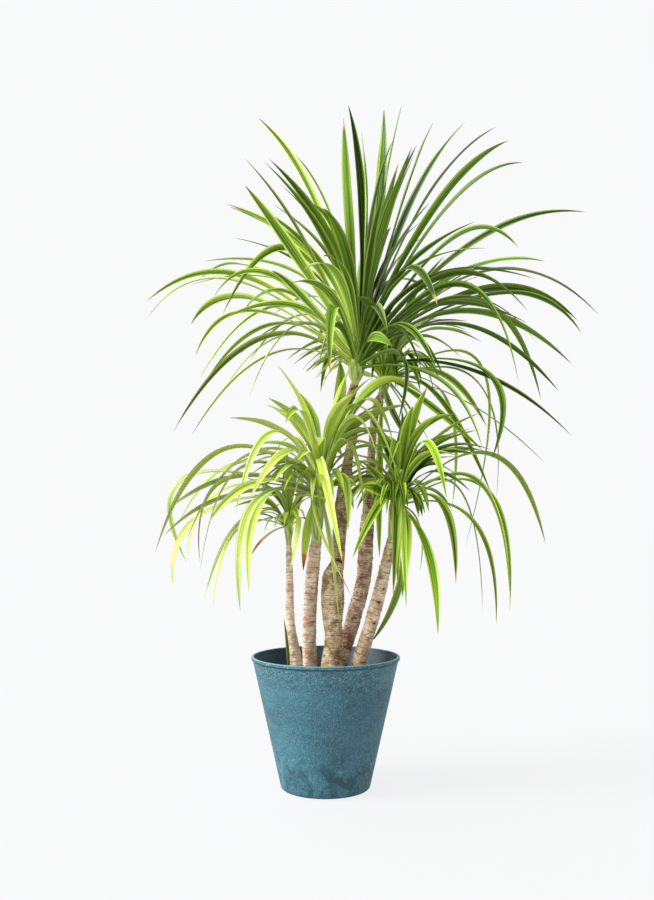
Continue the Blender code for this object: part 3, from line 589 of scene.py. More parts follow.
def best_leaf(choices, obstacles, outers):
    """The first choice clear of everything, or else the first that only passes through neighbours."""
    spare = None
    for leaf in choices:
        if crosses_itself(leaf) or not is_clear(leaf, obstacles):
            continue
        outer = outer_tree(leaf)
        if not any(outer.overlap(other) for other in outers):
            return leaf
        spare = spare or leaf
    return spare


def leaf_root(crown, share, heading):
    """A place inside the stem, off its middle on the side that the leaf heads for."""
    across, up, depth, radius = smooth_line(crown.stem, share)
    return as_seen(across, up, depth) + heading * radius * ROOT_OFFSET


def outline_choices(crown, number):
    """A listed leaf, then the same leaf moved in or out along the line of sight."""
    readings = [reading / CENTIMETRES for reading in crown.outline[number]]
    half_across, half_up, tip_across, tip_up, depth = readings
    draw = random.Random(SEED_STEP * crown.seed + number)
    rise = min(max((half_up - crown.stem[0][1]) / CROWN_RISE, 0.0), 1.0)
    share = between(*ROOT_SHARES, rise * draw.uniform(*RISE_RANGE))
    width = crown.width * draw.uniform(*WIDTH_RANGE)
    roll = draw.uniform(*OUTLINE_ROLL) * draw.choice((1, 1, -1))
    if tip_across < crown.stem[0][0]:
        roll = -roll
    middle_depth = crown.stem[-1][2]
    for attempt in range(MOST_SHIFTS):
        shift = DEPTH_STEP * ((attempt + 1) // 2) * (1 if attempt % 2 else -1)
        halfway = as_seen(half_across, half_up, middle_depth + HALFWAY_DEPTH * (depth + shift))
        tip = as_seen(tip_across, tip_up, middle_depth + depth + shift)
        outward = tip - leaf_root(crown, share, Vector())
        root = leaf_root(crown, share, Vector((outward.x, outward.y, 0.0)).normalized())
        yield Leaf(root, 2 * halfway - (root + tip) / 2, tip, width, roll)


def fill_choices(crown, number, height):
    """A leaf for the rest of the crown: turned by the golden angle, and the higher the steeper."""
    draw = random.Random(SEED_STEP * crown.seed + FIRST_FILL_DRAW + number)
    upright = Vector((0.0, 0.0, 1.0))
    for _ in range(MOST_TRIES):
        turn = GOLDEN_ANGLE * number + draw.uniform(-TURN_SPREAD, TURN_SPREAD)
        launch = between(*LAUNCHES, height) + draw.uniform(-LAUNCH_SPREAD, LAUNCH_SPREAD)
        end = between(*ENDS, height**END_POWER) + draw.uniform(-END_SPREAD, END_SPREAD)
        longer = between(SHORTEST_SHARE, 1, math.sin(math.pi * height))
        length = draw.uniform(*crown.lengths) * longer
        heading = Vector((math.cos(turn), math.sin(turn), 0.0))
        root = leaf_root(crown, between(*ROOT_SHARES, height), heading)
        out, over = [heading * math.cos(angle) + upright * math.sin(angle)
                     for angle in (math.radians(launch), math.radians(end))]
        bend = root + out * length * OUT_SHARE
        tip = bend + over * length * OVER_SHARE
        width = crown.width * draw.uniform(*WIDTH_RANGE)
        yield Leaf(root, bend, tip, width, draw.uniform(-FILL_ROLL, FILL_ROLL))


def plain_choices(crown):
    """The choices for each numbered leaf that the crown's solid has."""
    choices = {number: outline_choices(crown, number) for number in range(len(crown.outline))}
    for number in range(crown.fill):
        height = (number + 0.5) / crown.fill
        choices[FIRST_FILL_DRAW + number] = fill_choices(crown, number, height)
    return choices


def extra_choices(crown):
    """More leaves by the rule that fills a crown, between those that its solid has."""
    choices = {}
    for number in range(crown.extra):
        height = between(*crown.extra_heights, (0.5 + GOLDEN_SHARE * number) % 1.0)
        choices[FIRST_EXTRA + number] = fill_choices(crown, FIRST_EXTRA + number, height)
    return choices


def place_leaves(leaves, choices, obstacles):
    """Adds the best leaf of each number to a crown's leaves, where one finds room."""
    outers = [outer_tree(leaf) for _, leaf in leaves]
    for number, several in choices.items():
        leaf = best_leaf(several, obstacles, outers)
        if leaf:
            leaves.append((number, leaf))
            outers.append(outer_tree(leaf))


def add_mesh(points, faces, more_points, more_faces):
    """Adds a mesh's points and faces to the lists of a larger one."""
    start = len(points)
    points += more_points
    faces += [tuple(start + corner for corner in face) for face in more_faces]


def tree_of(meshes):
    points, faces = [], []
    for mesh in meshes:
        add_mesh(points, faces, *mesh)
    return BVHTree.FromPolygons(points, faces)


def surface_tree(obj):
    """The faces of an object, for finding what would cross it."""
    graph = bpy.context.evaluated_depsgraph_get()
    mesh = obj.evaluated_get(graph).to_mesh()
    points = [vertex.co.copy() for vertex in mesh.vertices]
    return BVHTree.FromPolygons(points, [tuple(face.vertices) for face in mesh.polygons])


def stem_tree(crown):
    """The faces of a crown's plain green stem tip."""
    guide = round_stem(crown_line(crown))
    tree = surface_tree(guide)
    bpy.data.objects.remove(guide, do_unlink=True)
    return tree


def grow_leaves():
    """The leaves of every crown, each clear of what stands still and of the other crowns.

    The leaves that the solids have come first, in every crown, and then the extra ones.
    """
    fixed = [surface_tree(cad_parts[name]) for name in ("pot", *CANES, "shoot")]
    stems = {crown.name: stem_tree(crown) for crown in CROWNS}
    grown = {crown.name: [] for crown in CROWNS}
    trees = {}
    for choices in (plain_choices, extra_choices):
        for crown in CROWNS:
            others = [tree for name, tree in [*stems.items(), *trees.items()] if name != crown.name]
            place_leaves(grown[crown.name], choices(crown), [*fixed, *others])
            trees[crown.name] = tree_of([blade(leaf) for _, leaf in grown[crown.name]])
    return grown


def new_object(name, points, faces, material, sharp=0):
    """An object with smooth faces. Its edges are sharp where faces meet at more than this angle."""
    mesh = bpy.data.meshes.new(name)
    mesh.from_pydata([tuple(point) for point in points], [], faces)
    mesh.update()
    mesh.materials.append(material)
    mesh.shade_smooth()
    mesh.set_sharp_from_angle(angle=math.radians(sharp))
    return add_object(name, mesh)


def write_attribute(obj, name, values):
    """A number for each point, which the materials read."""
    attribute = obj.data.attributes.new(name, "FLOAT", "POINT")
    attribute.data.foreach_set("value", values)


def write_marks(obj, marks):
    """What each point of a leaf tells its material, one attribute for each name."""
    for name, values in zip(MARKS, zip(*marks)):
        write_attribute(obj, name, values)


def settle(obj, node):
    """The piece rides with the plant and stands in for its plain solid, which is hidden."""
    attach(obj, "root")
    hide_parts(node)


class Nodes:
    """A short way to write the nodes of a material or of the sky."""

    def __init__(self, owner, shader="Principled BSDF", place="Object"):
        owner.use_nodes = True
        self.owner = owner
        self.tree = owner.node_tree
        self.shader = self.tree.nodes[shader]
        self.place = self.add("TexCoord", place, {})
        parts = self.tree.nodes.new("ShaderNodeSeparateXYZ")
        self.give(parts.inputs[0], self.place)
        self.x, _, self.z = parts.outputs

    def give(self, socket, value):
        if isinstance(value, bpy.types.NodeSocket):
            self.tree.links.new(value, socket)
        elif isinstance(value, str):
            socket.default_value = colour(value)
        else:
            socket.default_value = value

    def add(self, kind, output, inputs, **settings):
        """Adds a node with these settings and inputs, and returns one of its outputs."""
        node = self.tree.nodes.new("ShaderNode" + kind)
        for name, value in settings.items():
            setattr(node, name, value)
        for socket, value in inputs.items():
            self.give(node.inputs[socket], value)
        return node.outputs[output]

    def shade(self, **values):
        for name, value in values.items():
            self.give(self.shader.inputs[name.replace("_", " ")], value)

    def attribute(self, name):
        return self.add("Attribute", "Fac", {}, attribute_name=name)

    def calculate(self, operation, *values):
        return self.add("Math", 0, dict(enumerate(values)), operation=operation)

    def times(self, first, second):
        return self.calculate("MULTIPLY", first, second)

    def away(self, value, other):
        """How far a value is from another one."""
        return self.calculate("ABSOLUTE", self.calculate("SUBTRACT", value, other))

    def step(self, value, low, high, start=0.0, end=1.0):
        """Turns smoothly from start to end as the value goes from low to high."""
        inputs = {"Value": value, "From Min": low, "From Max": high, "To Min": start, "To Max": end}
        return self.add("MapRange", 0, inputs, interpolation_type="SMOOTHSTEP")

    def mix(self, share, first, second, blend="MIX"):
        inputs = {"Factor": share, "A": first, "B": second}
        return self.add("Mix", "Result", inputs, data_type="RGBA", blend_type=blend)

    def layers(self, shade, *rows):
        """Lays colours over a shade. Each row: a value, where it starts and ends, the colour's
        share at its start and end, the colour, and a mask if there is one."""
        for value, low, high, start, end, tint, *masks in rows:
            share = self.step(value, low, high, start, end)
            for mask in masks:
                share = self.times(share, mask)
            shade = self.mix(share, shade, tint)
        return shade

    def join(self, x, y, z):
        return self.add("CombineXYZ", 0, {0: x, 1: y, 2: z})

    def mapped(self, vector, **inputs):
        return self.add("Mapping", 0, {"Vector": vector, **inputs})

    def stretched(self, x, y, z):
        """The place on the object, scaled along each axis."""
        return self.mapped(self.place, Scale=(x, y, z))

    def noise(self, vector, detail=3.0, roughness=0.5, distortion=0.0):
        inputs = {"Vector": vector, "Scale": 1.0, "Detail": detail,
                  "Roughness": roughness, "Distortion": distortion}
        return self.add("TexNoise", "Fac", inputs)

    def cells(self, vector, scale):
        return self.add("TexVoronoi", "Distance", {"Vector": vector, "Scale": scale})

    def bump(self, height, strength, distance):
        inputs = {"Strength": strength, "Distance": distance, "Height": height}
        return self.add("Bump", 0, inputs)


def colour(code):
    """A colour written as #rrggbb, as the light that it stands for."""
    parts = [int(code[start:start + 2], 16) / 255 for start in (1, 3, 5)]
    linear = [part / 12.92 if part <= 0.04045 else ((part + 0.055) / 1.055) ** 2.4 for part in parts]
    return (*linear, 1.0)


def leaf_material(name, dark, body, pale, below, painted_light_gain, spread, gloss, lined, margin):
    """A strap leaf: soft lengthwise stripes, pale margins with a thin tan edge, and a dry tip. Leaves
    that reach to the left get painted light: a lighter, yellower colour and a paler base.
    """
    n = Nodes(bpy.data.materials.new(name))
    across, along, tone = [n.attribute(mark) for mark in ("across", "along", "tone")]
    out = n.calculate("ABSOLUTE", across)
    apart = n.times(tone, LEAVES_APART)
    bands = n.noise(n.join(n.times(across, BANDS_ACROSS), along, apart), detail=2.0)
    lines = n.noise(n.join(n.times(across, LINES_ACROSS), along, apart))
    # Painted light: how far the leaf reaches to the left, towards the sun.
    painted_light = n.step(n.attribute("painted_light"), -0.1, 0.95)
    shade = n.layers(
        dark,
        (bands, 0.4, 0.58, 0.0, 1.0, body),
        (lines, 0.5, 0.66, 0.0, lined, pale),
        (lines, 0.32, 0.45, 0.7, 0.0, dark),
        (out, 0.1, 0.4, 0.35, 0.0, dark),
        (out, 0.5, 0.85, 0.0, margin, pale),
        # Painted light: a paler base on leaves that reach to the left.
        (along, 0.0, 0.6, 0.5, 0.0, pale, painted_light),
        (along, 0.8, 1.0, 0.0, 0.4, dark),
    )
    light = n.step(tone, 0.0, 1.0, 1.0 - spread, 1.0 + spread)
    # Painted light: leaves that reach to the left are made lighter and yellower by these gains in red,
    # green and blue, on top of the leaf's own tone.
    tone_and_painted_light = [n.times(light, n.calculate("MULTIPLY_ADD", painted_light, more, 1.0)) for more in painted_light_gain]
    ragged = n.times(n.calculate("SUBTRACT", lines, 0.5), 0.1)
    scorched = n.calculate("SUBTRACT", n.calculate("ADD", along, ragged), n.attribute("dry"))
    shade = n.layers(
        n.mix(1.0, shade, n.join(*tone_and_painted_light), "MULTIPLY"),
        (n.attribute("under"), 0.2, 0.8, 0.0, 0.35, below),
        (out, 0.94, 1.0, 0.0, 0.4, "#9c8246"),
        (scorched, -0.05, 0.0, 0.0, 1.0, "#c9b45e"),
        (scorched, -0.02, 0.02, 0.0, 1.0, "#b5622a"),
        (scorched, 0.05, 0.12, 0.0, 1.0, "#6e3a22"),
    )
    ribs = n.bump(bands, n.step(along, 0.15, 0.4, 0.3, 0.0), 0.0008)
    n.shade(Base_Color=shade, Roughness=n.step(lines, 0.3, 0.7, 0.32, 0.45),
            Normal=ribs, Specular_IOR_Level=gloss)
    return n.owner


def stem_material():
    """The green neck of a crown, streaked upright by the bases of its leaves."""
    n = Nodes(bpy.data.materials.new("stem_green"))
    streaks = n.noise(n.stretched(150, 150, 14), detail=2.0, distortion=0.5)
    body = n.layers("#7f9c30", (streaks, 0.4, 0.6, 0.0, 1.0, "#c8d085"))
    n.shade(Base_Color=body, Roughness=0.5, Normal=n.bump(streaks, 0.8, 0.003))
    return n.owner


def bark_material(name, pale, middle, dark, blotch, blotch_share, flecks):
    """Dry ringed bark: pale patches, darker scars, brown blotches and fine dark flecks."""
    n = Nodes(bpy.data.materials.new(name))
    scar = n.attribute("scar")
    patches = n.noise(n.stretched(45, 45, 40), detail=4.0, roughness=0.65, distortion=0.6)
    grain = n.noise(n.stretched(90, 90, 420), detail=4.0, roughness=0.7)
    spots = n.noise(n.stretched(55, 55, 120), detail=4.0, roughness=0.65, distortion=0.8)
    body = n.layers(
        pale,
        (patches, 0.32, 0.68, 0.0, 1.0, middle),
        (spots, blotch_share, blotch_share + 0.16, 0.0, 0.7, blotch),
        (grain, 0.5, 0.72, 0.0, flecks, dark),
        (scar, 0.1, 0.8, 0.0, 0.6, dark),
        (scar, 0.9, 1.4, 0.0, 1.0, dark),
        (n.cells(n.stretched(1, 1, 1.6), 210), 0.06, 0.2, flecks * 0.8, 0.0, dark),
    )
    relief = n.calculate("ADD", n.times(grain, 0.6), n.times(spots, 0.4))
    n.shade(Base_Color=body, Roughness=0.82, Normal=n.bump(relief, 0.7, 0.0022),
            Specular_IOR_Level=0.25)
    return n.owner


def pot_material():
    """Teal stone-like resin: a fine upright grain, scratches near the top and dark clouds lower down.
    Painted light too: shade on the inside, under the lip and round the foot, and a highlight on the
    lip's top edge.
    """
    n = Nodes(bpy.data.materials.new("pot_stone"))
    drift = n.noise(n.stretched(7, 7, 11), detail=4.0, roughness=0.6, distortion=0.8)
    grain = n.noise(n.stretched(560, 560, 230), roughness=0.8)
    winding = n.noise(n.stretched(95, 95, 130), detail=2.0, roughness=0.6, distortion=1.8)
    clouds = n.noise(n.stretched(26, 26, 17), detail=5.0, roughness=0.7, distortion=1.6)
    mottle = n.noise(n.stretched(70, 70, 70), detail=5.0, roughness=0.8, distortion=1.4)
    upper = n.step(n.calculate("ADD", n.z, n.times(drift, 0.06)), 0.24, 0.30, 0.08, 0.7)
    lower = n.step(n.z, 0.05, 0.12, 1.0, 0.0)
    scratches = n.times(n.step(n.away(winding, 0.5), 0.006, 0.03, 1.0, 0.0), upper)
    shade = n.layers(
        "#35626f",
        (drift, 0.4, 0.62, 0.0, 0.8, "#274c58"),
        (grain, 0.5, 0.66, 0.0, 0.85, "#133642"),
        (grain, 0.34, 0.47, 0.75, 0.0, "#5c95a4"),
        (winding, 0.53, 0.62, 0.0, 1.0, "#1f434f", upper),
    )
    shade = n.layers(
        n.mix(scratches, shade, "#78a9b6"),
        (clouds, 0.47, 0.6, 0.0, 1.0, "#1e4451", lower),
        (clouds, 0.33, 0.43, 1.0, 0.0, "#4b8292", lower),
    )
    # Painted shade: the inside is much darker than the outside, with its own mottle in it.
    inside_in_painted_shade = n.layers("#08222c", (mottle, 0.42, 0.58, 0.0, 1.0, "#18424f"))
    shade = n.layers(
        n.mix(n.attribute("inside"), shade, inside_in_painted_shade),
        # Painted highlight: a lighter top edge of the lip.
        (n.z, POT_HEIGHT - LIP_BEVEL, POT_HEIGHT, 0.0, 0.65, "#6fa9b8"),
        # Painted shade: a dark line just under the lip.
        (n.away(n.z, LIP_BOTTOM), 0.0008, 0.0028, 0.85, 0.0, "#122c36"),
        # Painted shade: darker round the foot, where the pot meets the floor.
        (n.z, 0.002, 0.007, 0.85, 0.0, "#1b3843"),
    )
    relief = n.calculate("ADD", n.times(grain, 0.6), scratches)
    n.shade(Base_Color=shade, Roughness=n.step(grain, 0.3, 0.7, 0.5, 0.64),
            Normal=n.bump(relief, 0.3, 0.0009), Specular_IOR_Level=0.4)
    return n.owner


def soil_material():
    """Dark damp earth, lumpy, with pale fibres lying in it."""
    n = Nodes(bpy.data.materials.new("soil_earth"))
    lumps = n.noise(n.stretched(120, 120, 120), detail=5.0, roughness=0.7)
    turned = n.mapped(n.place, Rotation=(0.3, 0.5, 0.9))
    fibres = n.noise(n.mapped(turned, Scale=(400, 60, 90)), detail=2.0)
    body = n.layers(
        "#1d130d",
        (lumps, 0.35, 0.7, 0.0, 1.0, "#4b3726"),
        (fibres, 0.62, 0.74, 0.0, 0.7, "#7b6145"),
    )
    n.shade(Base_Color=body, Roughness=0.95, Normal=n.bump(lumps, 0.7, 0.002),
            Specular_IOR_Level=0.2)
    return n.owner


def droop_of(leaf):
    """How far a leaf arches over: 0 for a straight one, 1 for one that hangs."""
    top = max(leaf.root.lerp(leaf.bend, share).lerp(leaf.bend.lerp(leaf.tip, share), share).z
              for share in DROOP_SHARES)
    return min(1.0, (top - leaf.tip.z) / (HANGING_DROP * (leaf.tip - leaf.root).length))


def fine_width(share, droop):
    """How wide a fine blade is at a share of its length: a clasping base, then a spear."""
    base = CLASP_WIDTH * math.exp(-share / CLASP_LENGTH)
    outward = share ** (SPEAR_SHIFT + HANGING_SHIFT * droop)
    return min(1.0, blade_width(outward) + base)


def fine_blade(leaf, draw, slimness):
    """A closed blade on the plain blade's line: channelled, keeled below, with rippled margins.

    With its points and faces comes what each point tells the material: under, across, along.
    """
    points, marks = [], []
    droop = droop_of(leaf)
    slimness *= 1 + UPRIGHT_WIDENING * (1 - droop)
    twist = draw.uniform(-FINE_TWIST, FINE_TWIST)
    ripple = draw.uniform(*RIPPLE_RANGE)
    waves = draw.uniform(*WAVES_RANGE)
    phase = draw.uniform(0.0, 2 * math.pi)
    depth = draw.uniform(*CHANNEL_RANGE)
    for station in range(FINE_STATIONS):
        share = station / FINE_STATIONS
        middle, side, upper = blade_frame(leaf, share)
        turned = twist * (share - UNTWISTED_AT) - ARCH_LEVELLING * droop * leaf.roll * (1 - share)
        turn = Matrix.Rotation(turned, 3, side.cross(upper))
        side, upper = turn @ side, turn @ upper
        half = leaf.width / 2 * fine_width(share, droop) * slimness
        channel = depth + BASE_CHANNEL * math.exp(-share / BASE_CHANNEL_LENGTH)
        thick = FINE_THICKNESS * (BASE_THICKENING - share)
        for place, lower in FINE_RING:
            out = abs(place)
            wave = math.sin(2 * math.pi * waves * share + phase + place)
            rise = channel * half * (out**CHANNEL_POWER - CHANNEL_LEVEL)
            rise += ripple * half * out**2 * wave
            if lower:
                rise -= thick * (KEEL_THICKENING - out)
            points.append(middle + side * half * place + upper * rise)
            marks.append((lower, place, share))
    faces = blade_faces(len(FINE_RING), FINE_STATIONS, len(FINE_RING) / 2)
    return [*points, leaf.tip], faces, [*marks, (0.0, 0.0, 1.0)]


def fine_crown(crown, leaves, material, stem):
    """All of a crown's fine leaves and its green stem tip, as one piece of two materials."""
    points, faces, marks = [], [], []
    for number, leaf in leaves:
        draw = random.Random(SEED_STEP * crown.seed + FINE_DRAW + number)
        is_extra = FIRST_EXTRA <= number < FIRST_FILL_DRAW
        slimness = crown.slimness * (EXTRA_SLIMNESS if is_extra else 1.0)
        made, made_faces, made_marks = fine_blade(leaf, draw, slimness)
        tone = draw.random()
        dry = DRY_FROM.get((crown.name, number), draw.uniform(*TIP_DRY_RANGE))
        # Painted light: the further a leaf reaches to the left, the lighter its colour.
        painted_light = (leaf.root.x - leaf.tip.x) / LIT_REACH
        add_mesh(points, faces, made, made_faces)
        marks += [(*mark, tone, dry, painted_light) for mark in made_marks]
    leaf_faces = len(faces)
    made, made_faces = tube(crown_line(crown), STEM_SIDES)
    add_mesh(points, faces, made, made_faces)
    marks += [(0.0,) * len(MARKS)] * len(made)
    name = "leaves_" + crown.name.removeprefix("crown_")
    obj = new_object(name, points, faces, material, LEAF_SHARP)
    obj.data.materials.append(stem)
    indices = [0] * leaf_faces + [1] * (len(faces) - leaf_faces)
    obj.data.polygons.foreach_set("material_index", indices)
    write_marks(obj, marks)
    return obj


def tube(line, sides, relief=None):
    """A closed round tube through points and radii. The relief moves its skin in or out."""
    points, faces = [], []
    for ring, (place, radius) in enumerate(line):
        before = line[max(ring - 1, 0)][0]
        after = line[min(ring + 1, len(line) - 1)][0]
        along = (after - before).normalized()
        ahead = Vector((0.0, -1.0, 0.0))
        ahead = (ahead - ahead.dot(along) * along).normalized()
        beside = along.cross(ahead)
        for corner in range(sides):
            angle = 2 * math.pi * corner / sides
            skin = radius + (relief(ring, angle, radius) if relief else 0.0)
            points.append(place + (ahead * math.cos(angle) + beside * math.sin(angle)) * skin)
    for ring in range(len(line) - 1):
        for corner in range(sides):
            a = ring * sides + corner
            b = ring * sides + (corner + 1) % sides
            faces.append((a, b, b + sides, a + sides))
    faces.append(tuple(reversed(range(sides))))
    top = (len(line) - 1) * sides
    faces.append(tuple(range(top, top + sides)))
    return points, faces


def fine_cane(name, material):
    """A cane's bark: wavy scars of old leaves, each with a lip, on a rough and lumpy skin."""
    bark = BARKS[name]
    line = planted_line(CANES[name], round(distances(CANES[name])[-1] / BARK_STEP))
    scars = []

    def relief(ring, angle, radius):
        height = line[ring][0].z
        skin = Vector((math.cos(angle) * radius, math.sin(angle) * radius, height)) * ROUGH_SCALE
        skin += Vector((bark.seed, 0.0, 0.0))
        rings = height / bark.spacing + bark.wander * noise.noise(skin * WANDER_SCALE)
        off = (rings - round(rings)) * bark.spacing / bark.groove_width
        scar = Vector((round(rings) * SCAR_DRAW_STEP, angle * SCAR_TURN_SCALE, bark.seed))
        strength = SCAR_STRENGTH + SCAR_VARIATION * noise.noise(scar)
        groove = math.exp(-off**2) * strength
        lip = math.exp(-((off + LIP_SHIFT) / LIP_SPREAD) ** 2) * strength
        rough = noise.fractal(skin, *FRACTAL) + COARSE_SHARE * noise.noise(skin * COARSE_SCALE)
        for notch_height, turn, size in bark.notches:
            beside = radius * math.remainder(angle - math.radians(turn), 2 * math.pi)
            away = math.hypot(beside / NOTCH_WIDENING, height - notch_height) / size
            groove += NOTCH_DEPTH * math.exp(-(away**2))
        scars.append(groove)
        return bark.depth * (lip - groove) + bark.roughness * rough

    points, faces = tube(line, BARK_SIDES, relief)
    obj = new_object(name.replace("cane", "bark"), points, faces, material, BARK_SHARP)
    write_attribute(obj, "scar", scars)
    return obj


def arc(radius, across, up, first, last, steps):
    """Points on a round corner about (across, up), between two angles in degrees."""
    made = []
    for step in range(steps + 1):
        angle = math.radians(between(first, last, step / steps))
        made.append((across + radius * math.cos(angle), up + radius * math.sin(angle)))
    return made


def pot_side(height, inward=0.0):
    """A place on the pot's side, or this far inward of it."""
    return pot_radius(height) - inward, height


def fine_pot_profile():
    """Radius and height, from the middle of the inside floor over the lip to the underside."""
    step_up = POT_HEIGHT - INNER_STEP_DEPTH
    lip_inside = RIM_RADIUS - WALL + LIP_BEVEL
    crease = POT_HEIGHT - CREASE_DROP
    foot = pot_radius(FOOT_ROUNDING) - FOOT_ROUNDING
    return [
        (0.0, POT_FLOOR),
        pot_side(POT_FLOOR, WALL + INNER_CORNER),
        pot_side(POT_FLOOR + INNER_CORNER, WALL),
        pot_side(step_up, WALL),
        (pot_radius(step_up) - WALL + INNER_STEP, step_up + INNER_STEP),
        *arc(LIP_BEVEL, lip_inside, POT_HEIGHT - LIP_BEVEL, 180, 90, BEVEL_STEPS),
        *arc(LIP_ROUNDING, RIM_RADIUS - LIP_ROUNDING, POT_HEIGHT - LIP_ROUNDING, 90, 0, ROUNDING_STEPS),
        *arc(LIP_BEVEL, RIM_RADIUS - LIP_BEVEL, LIP_BOTTOM + LIP_BEVEL, 0, -90, BEVEL_STEPS),
        pot_side(LIP_BOTTOM),
        pot_side(crease + CREASE_REACH),
        pot_side(crease, CREASE_DEPTH),
        pot_side(crease - CREASE_REACH),
        *arc(FOOT_ROUNDING, foot, FOOT_ROUNDING, 0, -90, FOOT_STEPS),
        (0.0, 0.0),
    ]


def lathe(profile, sides):
    """Turns a profile of radius and height, from the top middle round to the bottom middle."""
    points, faces, starts = [], [], []
    for radius, height in profile:
        starts.append(len(points))
        for side in range(sides if radius else 1):
            angle = 2 * math.pi * side / sides
            points.append(Vector((radius * math.cos(angle), radius * math.sin(angle), height)))
    for row, (start, below) in enumerate(zip(starts, starts[1:])):
        for side in range(sides):
            beside = (side + 1) % sides
            if profile[row][0] == 0.0:
                faces.append((start, below + side, below + beside))
            elif profile[row + 1][0] == 0.0:
                faces.append((start + beside, start + side, below))
            else:
                faces.append((start + side, below + side, below + beside, start + beside))
    return points, faces


def fine_pot(material):
    """The pot, with its inside marked for its material, which darkens it as painted shade."""
    obj = new_object("pot_shell", *lathe(fine_pot_profile(), FINE_POT_SIDES), material, POT_SHARP)
    inside = []
    for point in obj.data.vertices:
        wall_middle = pot_radius(point.co.z) - WALL / 2
        inside.append(float(point.co.z > POT_FLOOR - GAP and math.hypot(*point.co.xy) < wall_middle))
    write_attribute(obj, "inside", inside)
    return obj


def soil_height(across, back):
    """The uneven top of the soil, with crumbs of a few millimetres."""
    wave = math.sin(SOIL_WAVES_ACROSS * across) * math.cos(SOIL_WAVES_BACK * back)
    place = Vector((across * SOIL_CRUMB_SCALE, back * SOIL_CRUMB_SCALE, 0.0))
    return SOIL_TOP + SOIL_UNEVENNESS * wave + SOIL_CRUMB * noise.fractal(place, *FRACTAL)


def fine_soil(material):
    """The soil as one closed solid, with loose crumbs half sunk in its top."""
    top = SOIL_TOP - SOIL_EDGE_DROP
    inside = WALL + GAP * 2
    edge = pot_radius(top) - inside
    bottom = POT_FLOOR + GAP
    rings = [(edge * ring / SOIL_TOP_RINGS, top) for ring in range(SOIL_TOP_RINGS + 1)]
    walls = [(pot_radius(bottom + SOIL_CORNER) - inside, bottom + SOIL_CORNER),
             (pot_radius(bottom) - inside - SOIL_CORNER, bottom), (0.0, bottom)]
    points, faces = lathe(rings + walls, SOIL_SIDES)
    top_count = 1 + SOIL_TOP_RINGS * SOIL_SIDES
    for point in points[:top_count - SOIL_SIDES]:
        fade = min(1.0, (edge - math.hypot(point.x, point.y)) / SOIL_EDGE_FADE)
        point.z += (soil_height(point.x, point.y) - top) * fade
    draw = random.Random(SOIL_DRAW)
    for _ in range(CRUMBS):
        reach = (edge - CRUMB_MARGIN) * math.sqrt(draw.random())
        angle = draw.uniform(0, 2 * math.pi)
        size = draw.uniform(*CRUMB_SIZES)
        middle = Vector((reach * math.cos(angle), reach * math.sin(angle), 0.0))
        middle.z = soil_height(middle.x, middle.y) - CRUMB_SINK * size
        add_crumb(points, faces, middle, size, draw)
    return new_object("soil_bed", points, faces, material, SOIL_SHARP)


def add_crumb(points, faces, middle, size, draw):
    """A lumpy eight-sided crumb: four corners round it, then its top and its bottom."""
    start = len(points)
    for direction in ((1, 0, 0), (0, 1, 0), (-1, 0, 0), (0, -1, 0), (0, 0, 1), (0, 0, -1)):
        points.append(middle + Vector(direction) * size * draw.uniform(*CRUMB_LUMPS))
    for corner in range(4):
        beside = (corner + 1) % 4
        faces.append((start + corner, start + beside, start + 4))
        faces.append((start + beside, start + corner, start + 5))


def fine_shoot(material):
    """The young shoot as a narrow upright leaf."""
    foot, halfway, top = [as_seen(*place) for place in SHOOT]
    foot.z = SOIL_TOP - SOIL_CRUMB * SHOOT_SUNK
    leaf = Leaf(foot, 2 * halfway - (foot + top) / 2, top, SHOOT_WIDTH, SHOOT_ROLL)
    points, faces, marks = fine_blade(leaf, random.Random(FINE_DRAW), 1.0)
    obj = new_object("shoot_blade", points, faces, material, LEAF_SHARP)
    write_marks(obj, [(*mark, SHOOT_TONE, SHOOT_DRY_FROM) for mark in marks])
    return obj


def make_camera():
    camera = add_object("camera", bpy.data.cameras.new("camera"))
    camera.location = (0.0, -EYE_DISTANCE, EYE_HEIGHT)
    camera.rotation_euler = (math.pi / 2, 0.0, 0.0)
    camera.data.sensor_width = SENSOR
    camera.data.lens = PIXELS_PER_SLOPE * SENSOR / PHOTO_HEIGHT
    camera.data.shift_x = (PHOTO_WIDTH / 2 - MIDDLE_ACROSS) / PHOTO_HEIGHT
    camera.data.shift_y = (EYE_LINE_DOWN - PHOTO_HEIGHT / 2) / PHOTO_HEIGHT
    bpy.context.scene.camera = camera


def make_sun():
    """A broad soft light from far away, turned to the left of straight in front, and raised."""
    light = bpy.data.lights.new("key", "SUN")
    light.energy = SUN_STRENGTH
    light.angle = SUN_SPREAD
    towards = Vector((
        -math.sin(SUN_TURN) * math.cos(SUN_RISE),
        -math.cos(SUN_TURN) * math.cos(SUN_RISE),
        math.sin(SUN_RISE),
    ))
    add_object("key", light).rotation_euler = towards.to_track_quat("Z", "Y").to_euler()


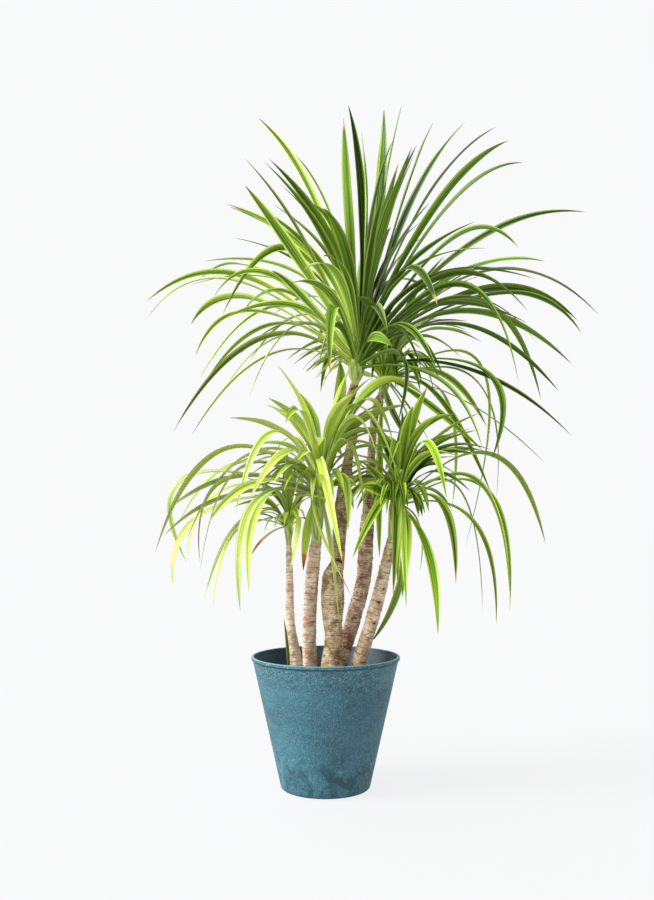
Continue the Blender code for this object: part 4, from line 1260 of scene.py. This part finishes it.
def make_studio():
    """A plain pale floor, a pale sky that is brighter above on the left, and one soft sun."""
    n = Nodes(bpy.data.materials.new("floor_pale"))
    n.shade(Base_Color=FLOOR_SHADE, Roughness=1.0, Specular_IOR_Level=0.0,
            Emission_Color=SKY_SHADE, Emission_Strength=FLOOR_GLOW)
    signs = ((-1, -1), (1, -1), (1, 1), (-1, 1))
    corners = [(x * FLOOR_REACH, y * FLOOR_REACH, FLOOR) for x, y in signs]
    new_object("floor", corners, [(0, 1, 2, 3)], n.owner)
    sky = Nodes(bpy.data.worlds.new("studio"), "Background", "Generated")
    above = sky.step(sky.z, *SKY_BAND)
    overhead = sky.step(sky.x, *SKY_SIDES, SKY_LEFT, SKY_RIGHT)
    sky.shade(Color=sky.mix(above, SKY_SHADE, sky.join(overhead, overhead, overhead)))
    bpy.context.scene.world = sky.owner
    bpy.context.scene.view_settings.view_transform = "Standard"
    make_sun()


make_camera()
make_studio()
grown = grow_leaves()
# After each leaf's colours come its painted light gains in red, green and blue, for leaves that reach to
# the left.
dark = leaf_material("leaf_dark", "#0d2b01", "#46730b", "#a6c25a", "#5f7d22",
                     (2.1, 1.4, 2.4), 0.4, 0.12, 0.5, 0.45)
mid = leaf_material("leaf_mid", "#315b02", "#7aa812", "#c6d45c", "#8aaa3c",
                    (0.75, 0.5, 0.5), 0.38, 0.2, 0.5, 0.65)
lime = leaf_material("leaf_lime", "#6a9408", "#b8cc22", "#ced890", "#a6ba50",
                     (0.0, -0.1, 0.5), 0.18, 0.3, 0.8, 0.3)
stem_green = stem_material()
pale_bark = bark_material("cane_bark_pale", "#f0dfca", "#c5a385", "#4f3220", "#96694c", 0.54, 0.50)
buff_bark = bark_material("cane_bark_buff", "#e6d0b5", "#ab8864", "#45301f", "#86603f", 0.50, 0.55)
tan_bark = bark_material("cane_bark_tan", "#ddc8a6", "#8d6b46", "#2f2015", "#65462a", 0.50, 0.60)
brown_bark = bark_material("cane_bark_brown", "#e6ceb6", "#8f674a", "#2c1d14", "#5f4030", 0.49, 0.65)
barks = {"cane_thin": pale_bark, "cane_left": pale_bark, "cane_right": buff_bark,
         "cane_tall": tan_bark, "cane_rear": brown_bark}
settle(fine_pot(pot_material()), "pot")
settle(fine_soil(soil_material()), "soil")
for name, material in barks.items():
    settle(fine_cane(name, material), name)
greens = {"crown_small": lime, "crown_left": lime, "crown_right": mid,
          "crown_rear": mid, "crown_top": dark}
for crown in CROWNS:
    piece = fine_crown(crown, grown[crown.name], greens[crown.name], stem_green)
    settle(piece, crown.name)
settle(fine_shoot(dark), "shoot")
